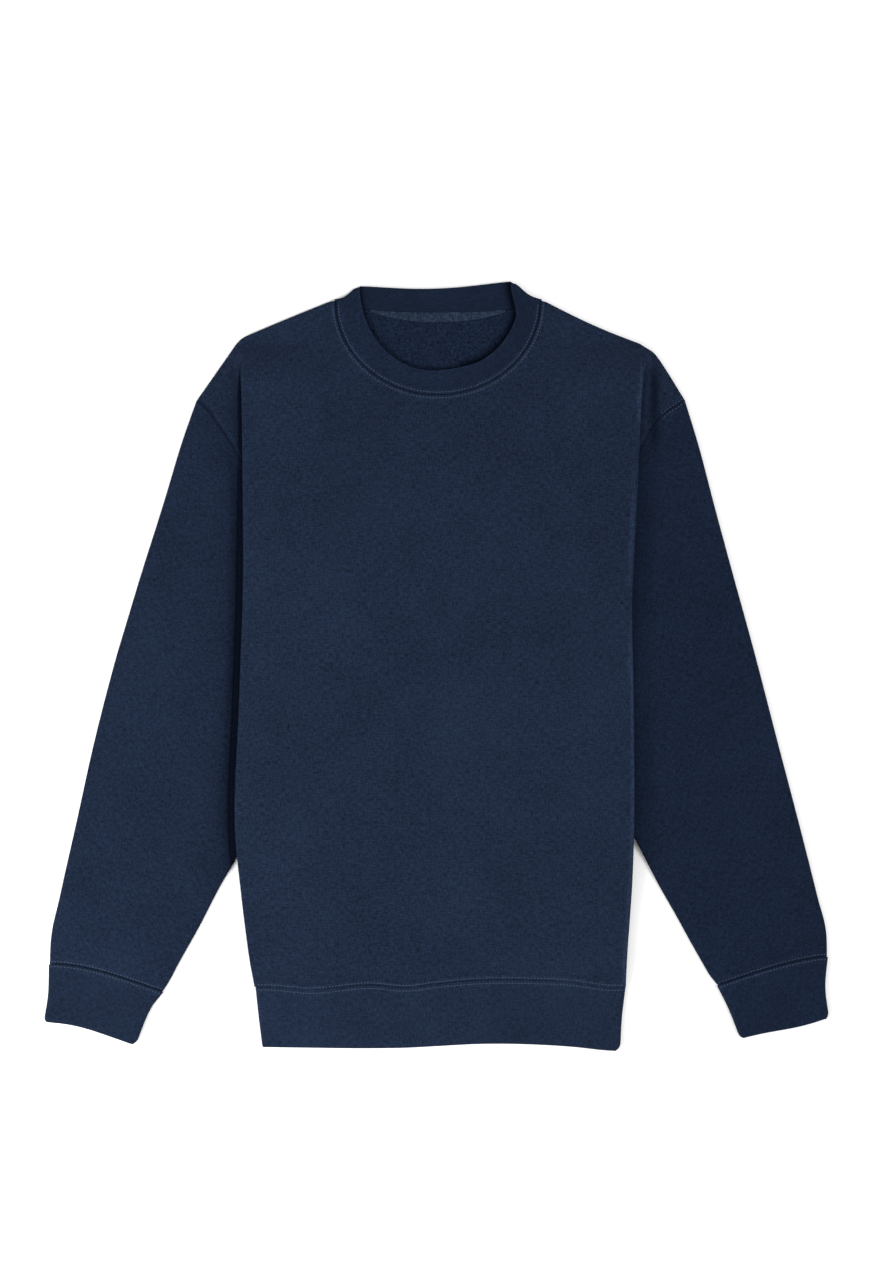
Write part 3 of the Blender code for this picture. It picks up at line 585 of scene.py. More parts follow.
def cuffGrid(side, sign):
    rows = cuffCut[side]
    seam = evenly(sleeveRows(side, sign)[-1], ribs["pitch"] / ribs["acrossSteps"])
    share = np.linalg.norm(seam - seam[0], axis=1)[:, None]
    share /= share[-1]
    lines = [seam - (0, 1.1 * seamGap)]
    for k in (1, 2):
        outer, inner = tableEnds(rows, k)
        inset = unit(inner - outer) * (ribWall + ribLayer) / 2
        line = outer + inset + (inner - outer - 2 * inset) * share
        line[:, 1] += rows["bow"][k] * np.sin(math.pi * share[:, 0])
        lines.append(line)
    flat = refine(np.array(lines), [40, 40], 0)
    walked = np.linspace(0, 1, len(flat))
    across = np.linspace(0, 1, flat.shape[1])[:, None]
    length = ribs["cuffLength"]
    rows = []
    for part in endRows(length, ribs["rowSpacing"]):
        row = np.apply_along_axis(lambda v: np.interp(part, walked, v), 0, flat)
        outer, inner = (cornerInset((1 - part) * length, r) for r in ribs["corner"][side])
        rows.append(row + unit(row[-1] - row[0]) * (outer * (1 - across) - inner * across))
    flat = np.array(rows)
    wave = cuffWave[side] * np.sin(2 * math.pi * across[:, 0])
    flat[..., 1] += wave * np.linspace(0, 1, len(flat))[:, None] ** 2
    return flatRing(flat, ribLayer / 2, lambda a, b: ribWall / 2 + 0 * a, bandRise(flat))


def bandRise(flat):
    # upper side of a band: it dips into its seam, puffs up, and thins towards the folded end
    toSeam, toEnd = (distanceTo(flat[row][::8], flat[..., 0], flat[..., 1]) for row in (0, -1))
    toEnd = np.minimum(toEnd, ribs["farthest"])
    return (seamRoll(toSeam, *rolls["band"]) - ribs["endThin"] * (1 - smooth(toEnd / ribs["endReach"]))
            + ribs["puff"] * smooth(toEnd / ribs["puffReach"]))


def hemGrid():
    across = hemSides["across"]
    inset = (ribWall + ribLayer) / 2
    count = int(340 / ribs["pitch"] * ribs["acrossSteps"])
    length = ribs["hemLength"]
    lines = []
    for share in endRows(length, ribs["rowSpacing"]):
        insetLeft, insetRight = (cornerInset((1 - share) * length, r) for r in ribs["corner"]["hem"])
        x = np.linspace(follow(across, hemSides["left"], share) + inset + insetLeft,
                        follow(across, hemSides["right"], share) - inset - insetRight, count)
        seam = follow(hem["x"], hem["seam"], x) - seamGap
        lines.append(np.stack([x, seam + (follow(hem["x"], hem["bottom"], x) - seam) * share], axis=-1))
    flat = np.array(lines)
    return flatRing(flat, ribLayer / 2, lambda a, b: ribWall / 2 + 0 * a, bandRise(flat))


collar = {"across": 13, "halfSteps": 480, "rightLift": 2.4, "liftAt": 0.75, "liftWidth": 0.55,
          "frontLift": 0.5,
          "corner": 6.0, "band": 24.0, "lap": 0.02, "reachRadius": 78.0, "frontSink": 0.7,
          "rimThin": 0.5, "rimReach": 4, "endThin": 0.35, "endFrom": 0.6}


def neckGrid():
    rows = []
    middle = ribWall / 2 + ribLayer / 2
    half = collar["halfSteps"]
    shares = np.concatenate(([-collar["lap"], 0.02, 0.05, 0.09], np.linspace(0.14, 0.8, collar["across"]),
                             [0.85, 0.9, 0.94, 0.97, 0.99, 1]))
    for across in shares:
        toRim = (1 - across) * collar["band"]
        reach = math.pi / 2 - cornerInset(toRim, collar["corner"]) / collar["reachRadius"]
        angles = reach * np.linspace(-1, 1, half + 1)
        right = bell(angles - collar["liftAt"], collar["liftWidth"])
        lift = across * (collar["frontLift"] + collar["rightLift"] * right)
        puff = (seamRoll(max(across, 0) * collar["band"], *rolls["collar"])
                - collar["rimThin"] * (1 - smooth(toRim / collar["rimReach"])))
        height = (middle + ribLayer / 2 - collar["frontSink"] * np.cos(angles)
                  + (lift + puff) * np.abs(np.cos(angles)) ** 0.5)
        front = np.concatenate([neckPoint(angles, across, True), height[:, None]], axis=1)
        back = neckPoint(angles[::-1], across, False)
        back = np.concatenate([back, np.full((half + 1, 1), ribWall / 2)], axis=1)
        rows.append(np.concatenate([front, foldedEnd(across, 1, middle, reach), back,
                                    foldedEnd(across, -1, middle, reach)]))
    return np.array(rows)


def foldedEnd(across, sign, middle, reach):
    # round one end of the collar, from its front to its back
    end = neckPoint(sign * reach, across, True)
    way = neckPoint(sign * math.pi / 2, 1, True) - neckPoint(sign * math.pi / 2, 0, True)
    out = unit(np.array([way[1], -way[0]]) * -sign)
    out = out if out[1] > 0 else -out
    radius = ribLayer / 2 * (1 - collar["endThin"] * smooth((across - collar["endFrom"]) / 0.4))
    points = []
    for angle in np.linspace(0, math.pi, 9)[1:-1]:
        rise = ribLayer / 2 * math.cos(angle) * sign
        points.append(np.append(end + out * radius * math.sin(angle), middle + rise))
    return np.array(points)


tapeSize = {"halfWidth": 63.0, "ends": 2.0, "middle": 9.0, "puff": 0.25}


def tapeGrid():
    rows = []
    t = np.linspace(-1, 1, 91)
    x = neck["x"] + tapeSize["halfWidth"] * t
    top = neckPoint(np.arcsin(t * tapeSize["halfWidth"] / neck["halfWidth"]), 0, False)[:, 1]
    depth = tapeSize["ends"] + (tapeSize["middle"] - tapeSize["ends"]) * (1 - t * t)
    for across in np.linspace(0, 1, 9):
        z = fleeceWall + seamGap + tapeWall / 2 + tapeSize["puff"] * math.sin(math.pi * across)
        rows.append(np.stack([x, top - 2 * seamGap - depth * (1 - across), np.full(len(x), z)], axis=-1))
    return np.array(rows)


def tangents(grid, axis, closed):
    steps = unit(np.diff(grid, axis=axis, append=np.take(grid, [0], axis=axis)))
    if closed:
        return unit(steps + np.roll(steps, 1, axis=axis))
    steps = np.take(steps, range(grid.shape[axis] - 1), axis=axis)
    first, last = np.take(steps, [0], axis=axis), np.take(steps, [-1], axis=axis)
    return unit(np.concatenate((first, steps), axis=axis) + np.concatenate((steps, last), axis=axis))


def setValues(mesh, name, values):
    # one value for each point, the same on both sides of the cloth
    attribute = mesh.attributes.new(name, "FLOAT", "POINT")
    attribute.data.foreach_set("value", np.concatenate([values, values]))


def layKnit(mesh, grid, closed, grain):
    # a knit map in metres on both sides of the cloth, with grain the way the knit's wales run, in
    # degrees from upright, or None where they follow the band round
    rows, columns = grid.shape[:2]
    ring = np.concatenate([grid, grid[:, :1]], axis=1) if closed else grid
    if grain is None:
        steps = np.linalg.norm(np.diff(ring, axis=1), axis=2)
        across = np.concatenate([np.zeros((rows, 1)), np.cumsum(steps, axis=1)], axis=1)
        if not closed:
            across -= across.mean(axis=1, keepdims=True)
        steps = np.linalg.norm(np.diff(grid, axis=0), axis=2).mean(axis=1)
        down = np.broadcast_to(np.concatenate([[0], np.cumsum(steps)])[:, None], across.shape)
    else:
        lean = math.radians(grain)
        across = ring[..., 0] * math.cos(lean) + ring[..., 1] * math.sin(lean)
        down = ring[..., 1] * math.cos(lean) - ring[..., 0] * math.sin(lean)
    loops = np.zeros(len(mesh.loops), np.int64)
    mesh.loops.foreach_get("vertex_index", loops)
    place = loops % (rows * columns)
    row, column = place // columns, place % columns
    if closed:
        # the faces that close the ring end on the far side of the map
        starts = np.zeros(len(mesh.polygons), np.int64)
        mesh.polygons.foreach_get("loop_start", starts)
        face = np.searchsorted(starts, np.arange(len(loops)), side="right") - 1
        wraps = np.zeros(len(starts), bool)
        np.logical_or.at(wraps, face, column == columns - 1)
        column = np.where(wraps[face] & (column == 0), columns, column)
    knit = mesh.uv_layers.new(name="knit")
    spots = np.stack([across[row, column], down[row, column]], axis=-1) / 1000
    knit.data.foreach_set("uv", spots.ravel())


def makeCloth(name, grid, wall, materials, closed=False, faceUp=True, around=None, grain=None, seams=()):
    # a closed solid of cloth from the grid of its middle points
    normals = unit(np.cross(tangents(grid, 1, closed), tangents(grid, 0, False)))
    if (normals[grid.shape[0] // 2, grid.shape[1] // 4, 2] < 0) == faceUp:
        normals = -normals
    rows, columns = grid.shape[:2]
    count = rows * columns
    offset = normals * np.reshape(wall, (-1, 1, 1)) / 2
    points = np.concatenate((grid + offset, grid - offset)).reshape(-1, 3)
    points[:, 1] -= middleY
    place = np.arange(count).reshape(rows, columns)
    ring = np.concatenate([place, place[:, :1]], axis=1) if closed else place
    quads = np.stack([ring[:-1, :-1], ring[1:, :-1], ring[1:, 1:], ring[:-1, 1:]], axis=-1).reshape(-1, 4)
    edges = [(ring[0], 1), (ring[-1], -1)] + ([] if closed else [(place[:, 0], -1), (place[:, -1], 1)])
    strips = [np.stack([line[:-1], line[1:], line[1:] + count, line[:-1] + count], axis=-1)[:, ::flip]
              for line, flip in edges]
    faces = np.concatenate([quads, quads[:, ::-1] + count] + strips)
    mesh = bpy.data.meshes.new(name)
    mesh.from_pydata((points / 1000).tolist(), [], faces.tolist())
    solid = bmesh.new()
    solid.from_mesh(mesh)
    bmesh.ops.recalc_face_normals(solid, faces=solid.faces)
    solid.to_mesh(mesh)
    solid.free()
    layKnit(mesh, grid, closed, grain)
    # painted shade and painted highlight for each point, multiplied into the colour
    setValues(mesh, "paintedLight", paintedShadeAndHighlights(grid, seams).ravel())
    if around is not None:
        setValues(mesh, "around", np.broadcast_to(around, (rows, columns)).ravel() / 1000)
    for material in materials:
        mesh.materials.append(material)
    if len(materials) > 1:
        # the first half of the faces is the outside, the second half the brushed inside
        slots = np.zeros(len(mesh.polygons), np.int32)
        slots[len(quads):2 * len(quads)] = 1
        mesh.polygons.foreach_set("material_index", slots)
    mesh.shade_smooth()
    mesh.set_sharp_from_angle(angle=math.radians(65))
    return addObject(name, mesh)


def addObject(name, data):
    item = bpy.data.objects.new(name, data)
    bpy.context.scene.collection.objects.link(item)
    return item


def shrinkRound(grid):
    # length walked round the middle row of a band, in whole ribs
    row = grid[len(grid) // 2]
    steps = np.linalg.norm(np.diff(row, axis=0, append=row[:1]), axis=1)
    walked = np.concatenate(([0], np.cumsum(steps)))
    whole = round(walked[-1] / ribs["pitch"]) * ribs["pitch"]
    return walked[:-1] / walked[-1] * whole


class nodeBench:
    # lays nodes in a tree and links them by name
    def __init__(self, tree):
        self.tree = tree

    def add(self, kind, inputs=None, **settings):
        node = self.tree.nodes.new(kind)
        node.location = (len(self.tree.nodes) * 190, -(len(self.tree.nodes) % 4) * 150)
        for key, value in settings.items():
            setattr(node, key, value)
        for key, value in (inputs or {}).items():
            if isinstance(value, bpy.types.NodeSocket):
                self.tree.links.new(value, node.inputs[key])
            else:
                node.inputs[key].default_value = value
        return node

    def math(self, operation, a, b=0.0, c=0.0):
        return self.add("ShaderNodeMath", {0: a, 1: b, 2: c}, operation=operation).outputs[0]

    def noise(self, place, scale, detail, **more):
        values = {"Vector": place, "Scale": scale, "Detail": detail, **more}
        return self.add("ShaderNodeTexNoise", values).outputs[0]


def newGroup(name, inputs, outputs, kind="Shader"):
    # a node group with its named sockets, the bench it is built on and what it is given
    tree = bpy.data.node_groups.new(name, kind + "NodeTree")
    for way, rows in (("INPUT", inputs), ("OUTPUT", outputs)):
        for label, socketKind, value in rows:
            socket = tree.interface.new_socket(name=label, in_out=way,
                                               socket_type="NodeSocket" + socketKind)
            if value is not None:
                socket.default_value = value
    bench = nodeBench(tree)
    return tree, bench, bench.add("NodeGroupInput").outputs


toneAndHeight = (("Tone", "Float", None), ("Height", "Float", None))


def jerseyGroup():
    # plain knit with upright wales, fine slubs and a soft uneven dye
    tree, bench, given = newGroup("jerseyKnit", (
        ("Wale", "Float", 0.0011), ("Course", "Float", 0.0009), ("Mottle", "Float", 0.1),
        ("Slub", "Float", 0.1), ("Fluff", "Float", 0.4)), toneAndHeight)
    step = bench.math
    knit = bench.add("ShaderNodeUVMap", uv_map="knit").outputs["UV"]
    place = bench.add("ShaderNodeTexCoord").outputs["Object"]
    split = bench.add("ShaderNodeSeparateXYZ", {0: knit}).outputs
    u, v = step("DIVIDE", split["X"], given["Wale"]), step("DIVIDE", split["Y"], given["Course"])
    side = step("ABSOLUTE", step("SUBTRACT", step("FRACT", u), 0.5))
    loop = step("SINE", step("MULTIPLY", step("ADD", v, side), 2 * math.pi))
    wale = step("SUBTRACT", 1.0, step("POWER", step("MULTIPLY", side, 2.0), 2.0))
    stitch = step("MULTIPLY", step("MULTIPLY_ADD", loop, 0.22, 0.78), wale)
    cloud = bench.noise(place, 46.0, 4.0, Roughness=0.62)
    wide = bench.noise(place, 9.0, 2.0)
    stretched = [bench.add("ShaderNodeMapping", {"Vector": knit, "Scale": scale}).outputs[0]
                 for scale in ((700.0, 230.0, 1.0), (200.0, 740.0, 1.0))]
    slubs = step("ADD", *[bench.noise(spot, 1.0, 2.0) for spot in stretched])
    fuzz = bench.noise(place, 900.0, 3.0)
    tone = step("MULTIPLY_ADD", step("SUBTRACT", step("ADD", cloud, wide), 1.0), given["Mottle"], 1.0)
    tone = step("MULTIPLY_ADD", step("SUBTRACT", slubs, 1.0), given["Slub"], tone)
    tone = step("MULTIPLY_ADD", step("SUBTRACT", stitch, 0.5), 0.08, tone)
    height = step("MULTIPLY_ADD", slubs, 0.9, step("MULTIPLY_ADD", fuzz, given["Fluff"], stitch))
    bench.add("NodeGroupOutput", {"Tone": tone, "Height": height})
    return tree


def napGroup():
    # brushed fleece: short fibres in small tufts
    tree, bench, given = newGroup("brushedNap", (("Tuft", "Float", 350.0), ("Mottle", "Float", 0.3)),
                                  toneAndHeight)
    place = bench.add("ShaderNodeTexCoord").outputs["Object"]
    tuft = bench.noise(place, given["Tuft"], 4.0, Roughness=0.7, Distortion=0.6)
    both = bench.math("MULTIPLY_ADD", bench.noise(place, 1400.0, 2.0), 0.5, tuft)
    tone = bench.math("MULTIPLY_ADD", bench.math("SUBTRACT", both, 0.75), given["Mottle"], 1.0)
    bench.add("NodeGroupOutput", {"Tone": bench.math("MAXIMUM", tone, 0.2), "Height": both})
    return tree


def paintedLightGroup():
    # painted shade darkens the cloth in hollows and seams, blue last, and a painted highlight makes it paler
    # on raised edges
    tree, bench, given = newGroup("paintedLightTone", (("Shade", "Color", (0.0, 0.06, 0.17, 1)),),
                                  (("Tone", "Color", None),))
    paintedLight = bench.add("ShaderNodeAttribute", attribute_name="paintedLight").outputs["Fac"]
    blend = bench.add("ShaderNodeMix", {0: paintedLight, 7: given["Shade"]}, data_type="RGBA",
                      clamp_factor=False)
    blend.inputs[6].default_value = (1, 1, 1, 1)
    bench.add("NodeGroupOutput", {"Tone": blend.outputs[2]})
    return tree


finish = {
    "face": {"colour": (0.0084, 0.0148, 0.0315, 1), "bump": 0.00026, "sheen": 0.03},
    # leftSleeve and rightSleeve are shaded copies of the face colour: painted shade, the right sleeve
    # darkest
    "leftSleeve": {"colour": (0.0072, 0.0129, 0.0279, 1), "bump": 0.00026, "sheen": 0.03},
    "rightSleeve": {"colour": (0.0060, 0.0112, 0.0252, 1), "bump": 0.00026, "sheen": 0.03},
    "inside": {"colour": (0.0057, 0.0107, 0.0243, 1), "bump": 0.0007, "sheen": 0.03},
    "rib": {"colour": (0.0084, 0.0148, 0.0315, 1), "bump": 0.0002, "sheen": 0.03},
    # ribLeft, ribRight and ribCollar are shaded copies of the rib colour: painted shade
    "ribLeft": {"colour": (0.0070, 0.0124, 0.0264, 1), "bump": 0.0002, "sheen": 0.03},
    "ribRight": {"colour": (0.0062, 0.0115, 0.0258, 1), "bump": 0.0002, "sheen": 0.03},
    "ribCollar": {"colour": (0.0067, 0.0122, 0.0272, 1), "bump": 0.0002, "sheen": 0.03},
    "tape": {"colour": (0.0145, 0.0231, 0.0421, 1), "bump": 0.0003, "sheen": 0.03},
    "thread": {"colour": (0.0434, 0.0597, 0.0932, 1), "bump": 0.00005, "sheen": 0.05},
    "matching": {"colour": (0.0072, 0.0129, 0.0281, 1), "bump": 0.00005, "sheen": 0.03},
    "roughness": 0.95, "specular": 0.04, "sheenTint": (0.42, 0.52, 0.75, 1), "sheenRoughness": 0.5,
    # colour of the painted shade in the hollows
    "paintedShadeColour": (0.0, 0.05, 0.15, 1),
}


def clothMaterial(name, key, group, settings):
    values = finish[key]
    material = bpy.data.materials.new(name)
    material.use_nodes = True
    shader = material.node_tree.nodes["Principled BSDF"].inputs
    for socket, value in (("Roughness", finish["roughness"]), ("Specular IOR Level", finish["specular"]),
                          ("Sheen Weight", values["sheen"]), ("Sheen Roughness", finish["sheenRoughness"]),
                          ("Sheen Tint", finish["sheenTint"])):
        shader[socket].default_value = value
    bench = nodeBench(material.node_tree)
    knit = bench.add("ShaderNodeGroup", node_tree=group)
    for socket, value in settings.items():
        knit.inputs[socket].default_value = value
    # painted shade and painted highlight, multiplied into the base colour
    depth = bench.add("ShaderNodeGroup", node_tree=paintedLightTone)
    depth.inputs["Shade"].default_value = finish["paintedShadeColour"]
    shaded = bench.add("ShaderNodeVectorMath", {0: depth.outputs["Tone"], "Scale": knit.outputs["Tone"]},
                       operation="SCALE").outputs[0]
    tint = bench.add("ShaderNodeMix", {0: 1.0, 7: shaded}, data_type="RGBA", blend_type="MULTIPLY")
    tint.inputs[6].default_value = values["colour"]
    bump = bench.add("ShaderNodeBump", {"Height": knit.outputs["Height"], "Distance": values["bump"],
                                        "Strength": 1.0})
    material.node_tree.links.new(tint.outputs[2], shader["Base Color"])
    material.node_tree.links.new(bump.outputs["Normal"], shader["Normal"])
    return material


def stitchTree(material):
    # a row of thread stitches along a line, each lying on the cloth below it
    tree, bench, given = newGroup("stitchRow", (
        ("Geometry", "Geometry", None), ("Spacing", "Float", 0.003), ("Stitch Length", "Float", 0.0024),
        ("Thread", "Float", 0.0005), ("Seed", "Int", 3)), (("Geometry", "Geometry", None),), "Geometry")
    curve = bench.add("GeometryNodeMeshToCurve", {"Mesh": given["Geometry"]}).outputs[0]
    curve = bench.add("GeometryNodeResampleCurve", {"Curve": curve, "Length": given["Spacing"]},
                      mode="LENGTH").outputs[0]
    tangent = bench.add("GeometryNodeInputTangent").outputs[0]
    lie = bench.add("GeometryNodeInputNamedAttribute", {"Name": "lie"}, data_type="FLOAT_VECTOR").outputs[0]
    along = bench.add("FunctionNodeAlignRotationToVector", {"Vector": tangent}, axis="X").outputs[0]
    turned = bench.add("FunctionNodeAlignRotationToVector", {"Rotation": along, "Vector": lie},
                       axis="Z", pivot_axis="X").outputs[0]
    thread = bench.add("GeometryNodeMeshUVSphere",
                       {"Segments": 6, "Rings": 4, "Radius": 0.5}).outputs["Mesh"]
    uneven = bench.add("FunctionNodeRandomValue", {"Seed": given["Seed"]}, data_type="FLOAT")
    shown = {socket.name: socket for socket in uneven.inputs if socket.enabled}
    shown["Min"].default_value, shown["Max"].default_value = 0.9, 1.08
    vary = [socket for socket in uneven.outputs if socket.enabled][0]
    length = bench.math("MULTIPLY", given["Stitch Length"], vary)
    size = bench.add("ShaderNodeCombineXYZ",
                     {"X": length, "Y": given["Thread"], "Z": given["Thread"]}).outputs[0]
    placed = bench.add("GeometryNodeInstanceOnPoints", {
        "Points": curve, "Instance": thread, "Rotation": turned, "Scale": size}).outputs[0]
    solid = bench.add("GeometryNodeRealizeInstances", {"Geometry": placed}).outputs[0]
    rounded = bench.add("GeometryNodeSetShadeSmooth", {"Geometry": solid}).outputs[0]
    done = bench.add("GeometryNodeSetMaterial", {"Geometry": rounded, "Material": material}).outputs[0]
    bench.add("NodeGroupOutput", {"Geometry": done})
    return tree


def ribTree(material):
    # upright ribs: the cloth rises and falls with the length walked round the band
    tree, bench, given = newGroup("ribWave", (
        ("Geometry", "Geometry", None), ("Pitch", "Float", 0.0023), ("Depth", "Float", 0.0002)),
        (("Geometry", "Geometry", None),), "Geometry")
    around = bench.add("GeometryNodeInputNamedAttribute", {"Name": "around"}, data_type="FLOAT").outputs[0]
    turns = bench.math("MULTIPLY", bench.math("DIVIDE", around, given["Pitch"]), 2 * math.pi)
    wave = bench.math("MULTIPLY", bench.math("COSINE", turns), given["Depth"])
    normal = bench.add("GeometryNodeInputNormal").outputs[0]
    push = bench.add("ShaderNodeVectorMath", {0: normal, "Scale": wave}, operation="SCALE").outputs[0]
    moved = bench.add("GeometryNodeSetPosition", {"Geometry": given["Geometry"], "Offset": push}).outputs[0]
    solid = bench.add("GeometryNodeRealizeInstances", {"Geometry": moved}).outputs[0]
    done = bench.add("GeometryNodeSetMaterial", {"Geometry": solid, "Material": material}).outputs[0]
    bench.add("NodeGroupOutput", {"Geometry": done})
    return tree


def runTree(item, tree, values):
    # give an object a tree's result as its plain mesh
    modifier = item.modifiers.new(tree.name, "NODES")
    modifier.node_group = tree
    for socket in tree.interface.items_tree:
        if socket.in_out == "INPUT" and socket.name in values:
            modifier[socket.identifier] = values[socket.name]
    bpy.context.view_layer.update()
    mesh = bpy.data.meshes.new_from_object(item.evaluated_get(bpy.context.evaluated_depsgraph_get()))
    item.modifiers.remove(modifier)
    old, item.data = item.data, mesh
    name = old.name
    bpy.data.meshes.remove(old)
    mesh.name = name


print("materials")
jersey, nap, paintedLightTone = jerseyGroup(), napGroup(), paintedLightGroup()
faceKnit = {"Wale": 0.0011, "Course": 0.0009, "Mottle": 0.4, "Slub": 1.45, "Fluff": 0.5}
ribFace = {"Wale": 0.00115, "Course": 0.001, "Mottle": 0.4, "Slub": 1.3, "Fluff": 0.4}
tapeWeave = {"Wale": 0.0012, "Course": 0.0024, "Mottle": 0.6, "Slub": 2.2, "Fluff": 0.2}
threadFluff = {"Tuft": 900.0, "Mottle": 0.2}
# the sleeve, cuff and collar materials here carry painted shade in their colours
cloths = {key: clothMaterial(name, key, group, settings) for name, key, group, settings in (
    ("jerseyFace", "face", jersey, faceKnit), ("jerseyLeftSleeve", "leftSleeve", jersey, faceKnit),
    ("jerseyRightSleeve", "rightSleeve", jersey, faceKnit),
    ("brushedInside", "inside", nap, {"Tuft": 380.0, "Mottle": 3.8}),
    ("ribKnit", "rib", jersey, ribFace), ("ribKnitLeft", "ribLeft", jersey, ribFace),
    ("ribKnitRight", "ribRight", jersey, ribFace), ("ribKnitCollar", "ribCollar", jersey, ribFace),
    ("neckTape", "tape", jersey, tapeWeave), ("sewingThread", "thread", nap, threadFluff),
    ("matchingThread", "matching", nap, threadFluff))}

print("body panels")


def roughTop(grid):
    # creases and the roll of cloth into its seams, on the body's upper side
    x, y = grid[..., 0], grid[..., 1]
    columns = x.shape[1]
    main = np.zeros(x.shape, bool)
    sideCount = (columns - (2 * fleece["shoulderSteps"] + fleece["neckSteps"] - 1)) // 2
    main[:, sideCount - 1:columns - sideCount + 1] = True
    toEdge = np.where(x < 0, sideEdge("left", y), sideEdge("right", y)) - np.abs(x)
    inward = smooth((toEdge - fleece["creaseFrom"]) / fleece["creaseFade"])
    toHem = distanceTo(hemLine, x, y)
    settled = fleece["settleAtHem"] * (1 - smooth(toHem / fleece["hemSettling"]))
    rise = (softCreases(frontCreases, x, y) - settled) * inward
    rise += seamRoll(distanceTo(neckLine, x, y), *rolls["neck"]) + seamRoll(toHem, *rolls["hem"])
    rise = np.where(main, rise, 0)
    for side, sign in sides:
        outside = sign * x - sideEdge(side, y)
        puff = seamRoll(distanceTo(armholeLine(side), x, y), *rolls["armhole"]) * smooth(outside / 6)
        rise += np.where(~main & (outside > 0), puff, 0)
    grid[..., 2] += rise
    return grid


def panelWall(grid):
    wall = np.full(len(grid), fleeceWall)
    wall[-len(fleece["seamCurl"]):] = [share * fleeceWall for out, down, share in fleece["seamCurl"]]
    return wall


sleeveLean = 20.0    # how far each sleeve lies turned out from the body
pieces = {}
neckLine = neckPoint(np.linspace(-math.pi / 2, math.pi / 2, 61), 0, True)
backNeckLine = neckPoint(np.linspace(-math.pi / 2, math.pi / 2, 61), 0, False)
hemX = np.linspace(-180, 180, 61)
hemLine = np.stack([hemX, follow(hem["x"], hem["seam"], hemX)], axis=-1)
armholes = [("armholeSeam", armholeLine(side)) for side, sign in sides]
cuffLines = {side: sleeveRows(side, sign)[-1] for side, sign in sides}
for name, grid, seam, faceUp in (("frontBody", roughTop(panelGrid(True)), neckLine, True),
                                 ("backBody", panelGrid(False), backNeckLine, False)):
    pieces[name] = makeCloth(name, grid, panelWall(grid), [cloths["face"], cloths["inside"]], faceUp=faceUp,
                             grain=0, seams=[("collarSeam", seam), ("bandSeam", hemLine)] + armholes)
print("sleeves")
for side, sign in sides:
    name = side + "Sleeve"
    pieces[name] = makeCloth(name, sleeveGrid(side, sign), fleeceWall, [cloths[name], cloths["inside"]],
                             closed=True, grain=sign * sleeveLean,
                             seams=armholes + [("bandSeam", cuffLines[side])])
print("ribbed bands")
for name, grid, cloth, grain, seam in (
        ("leftCuff", cuffGrid("left", -1), cloths["ribLeft"], -sleeveLean, cuffLines["left"]),
        ("rightCuff", cuffGrid("right", 1), cloths["ribRight"], sleeveLean, cuffLines["right"]),
        ("waistband", hemGrid(), cloths["rib"], 0, hemLine),
        ("collarBand", neckGrid(), cloths["ribCollar"], None, neckLine)):
    seams = [("collarSeam" if name == "collarBand" else "bandSeam", seam)]
    pieces[name] = makeCloth(name, grid, ribWall, [cloth], closed=True, around=shrinkRound(grid),
                             grain=grain, seams=seams)
    runTree(pieces[name], ribTree(cloth), {"Pitch": ribs["pitch"] / 1000, "Depth": ribs["depth"] / 1000})
pieces["backNeckTape"] = makeCloth("backNeckTape", tapeGrid(), tapeWall, [cloths["tape"]])

print("stitches")
stitches = {"spacing": 3.0, "length": 2.3, "thread": 0.85, "sink": 0.1,
            "collar": (-3.4, 1.9), "hem": (2.0, -3.0), "cuff": (2.1, -2.2), "armhole": (-1.9, 1.9),
            "paleFrom": 211.0, "collarReach": 1.53, "seed": 5}


def clothTree(names):
    # one search tree over some pieces, for laying stitches on them
    points, faces = [], []
    for name in names:
        mesh = pieces[name].data
        first = len(points)
        points += [vertex.co.copy() for vertex in mesh.vertices]
        faces += [[first + i for i in polygon.vertices] for polygon in mesh.polygons]
    return BVHTree.FromPolygons(points, faces)


def layOn(tree, line, above):
    # the places and lie of a line of millimetre points on the cloth, seen from above or below
    runs = [[]]
    for x, y in line:
        start = Vector((x / 1000, (y - middleY) / 1000, 0.1 if above else -0.1))
        spot, normal, face, away = tree.ray_cast(start, Vector((0, 0, -1 if above else 1)))
        if spot is None:
            runs.append([])
            continue
        normal = normal if (normal.z > 0) == above else -normal
        runs[-1].append((spot - normal * stitches["sink"] / 1000, normal))
    return [run for run in runs if len(run) > 1]


def besideLine(line, aside):
    # the line moved sideways, to its left where aside is more than nothing
    way = unit(np.gradient(line, axis=0))
    return line + np.stack([-way[:, 1], way[:, 0]], axis=-1) * aside


def sew(name, runs, isPale=None):
    # stitches along the runs, in pale thread, or part of them in thread of the cloth's own colour
    made = 0
    for tree, wanted in ((paleStitches, True), (matchingStitches, False)):
        chosen = [run for run in runs if (isPale is None or isPale(run)) == wanted]
        if not chosen:
            continue
        edges, first = [], 0
        for run in chosen:
            edges += [(first + k, first + k + 1) for k in range(len(run) - 1)]
            first += len(run)
        mesh = bpy.data.meshes.new(name)
        mesh.from_pydata([spot for run in chosen for spot, lie in run], edges, [])
        attribute = mesh.attributes.new("lie", "FLOAT_VECTOR", "POINT")
        lies = np.array([lie for run in chosen for spot, lie in run], np.float32)
        attribute.data.foreach_set("vector", lies.ravel())
        item = addObject(name + "Dark" if made else name, mesh)
        sizes = {"Spacing": "spacing", "Stitch Length": "length", "Thread": "thread"}
        values = {label: stitches[key] / 1000 for label, key in sizes.items()}
        runTree(item, tree, {**values, "Seed": stitches["seed"]})
        pieces[item.name] = item
        made += 1


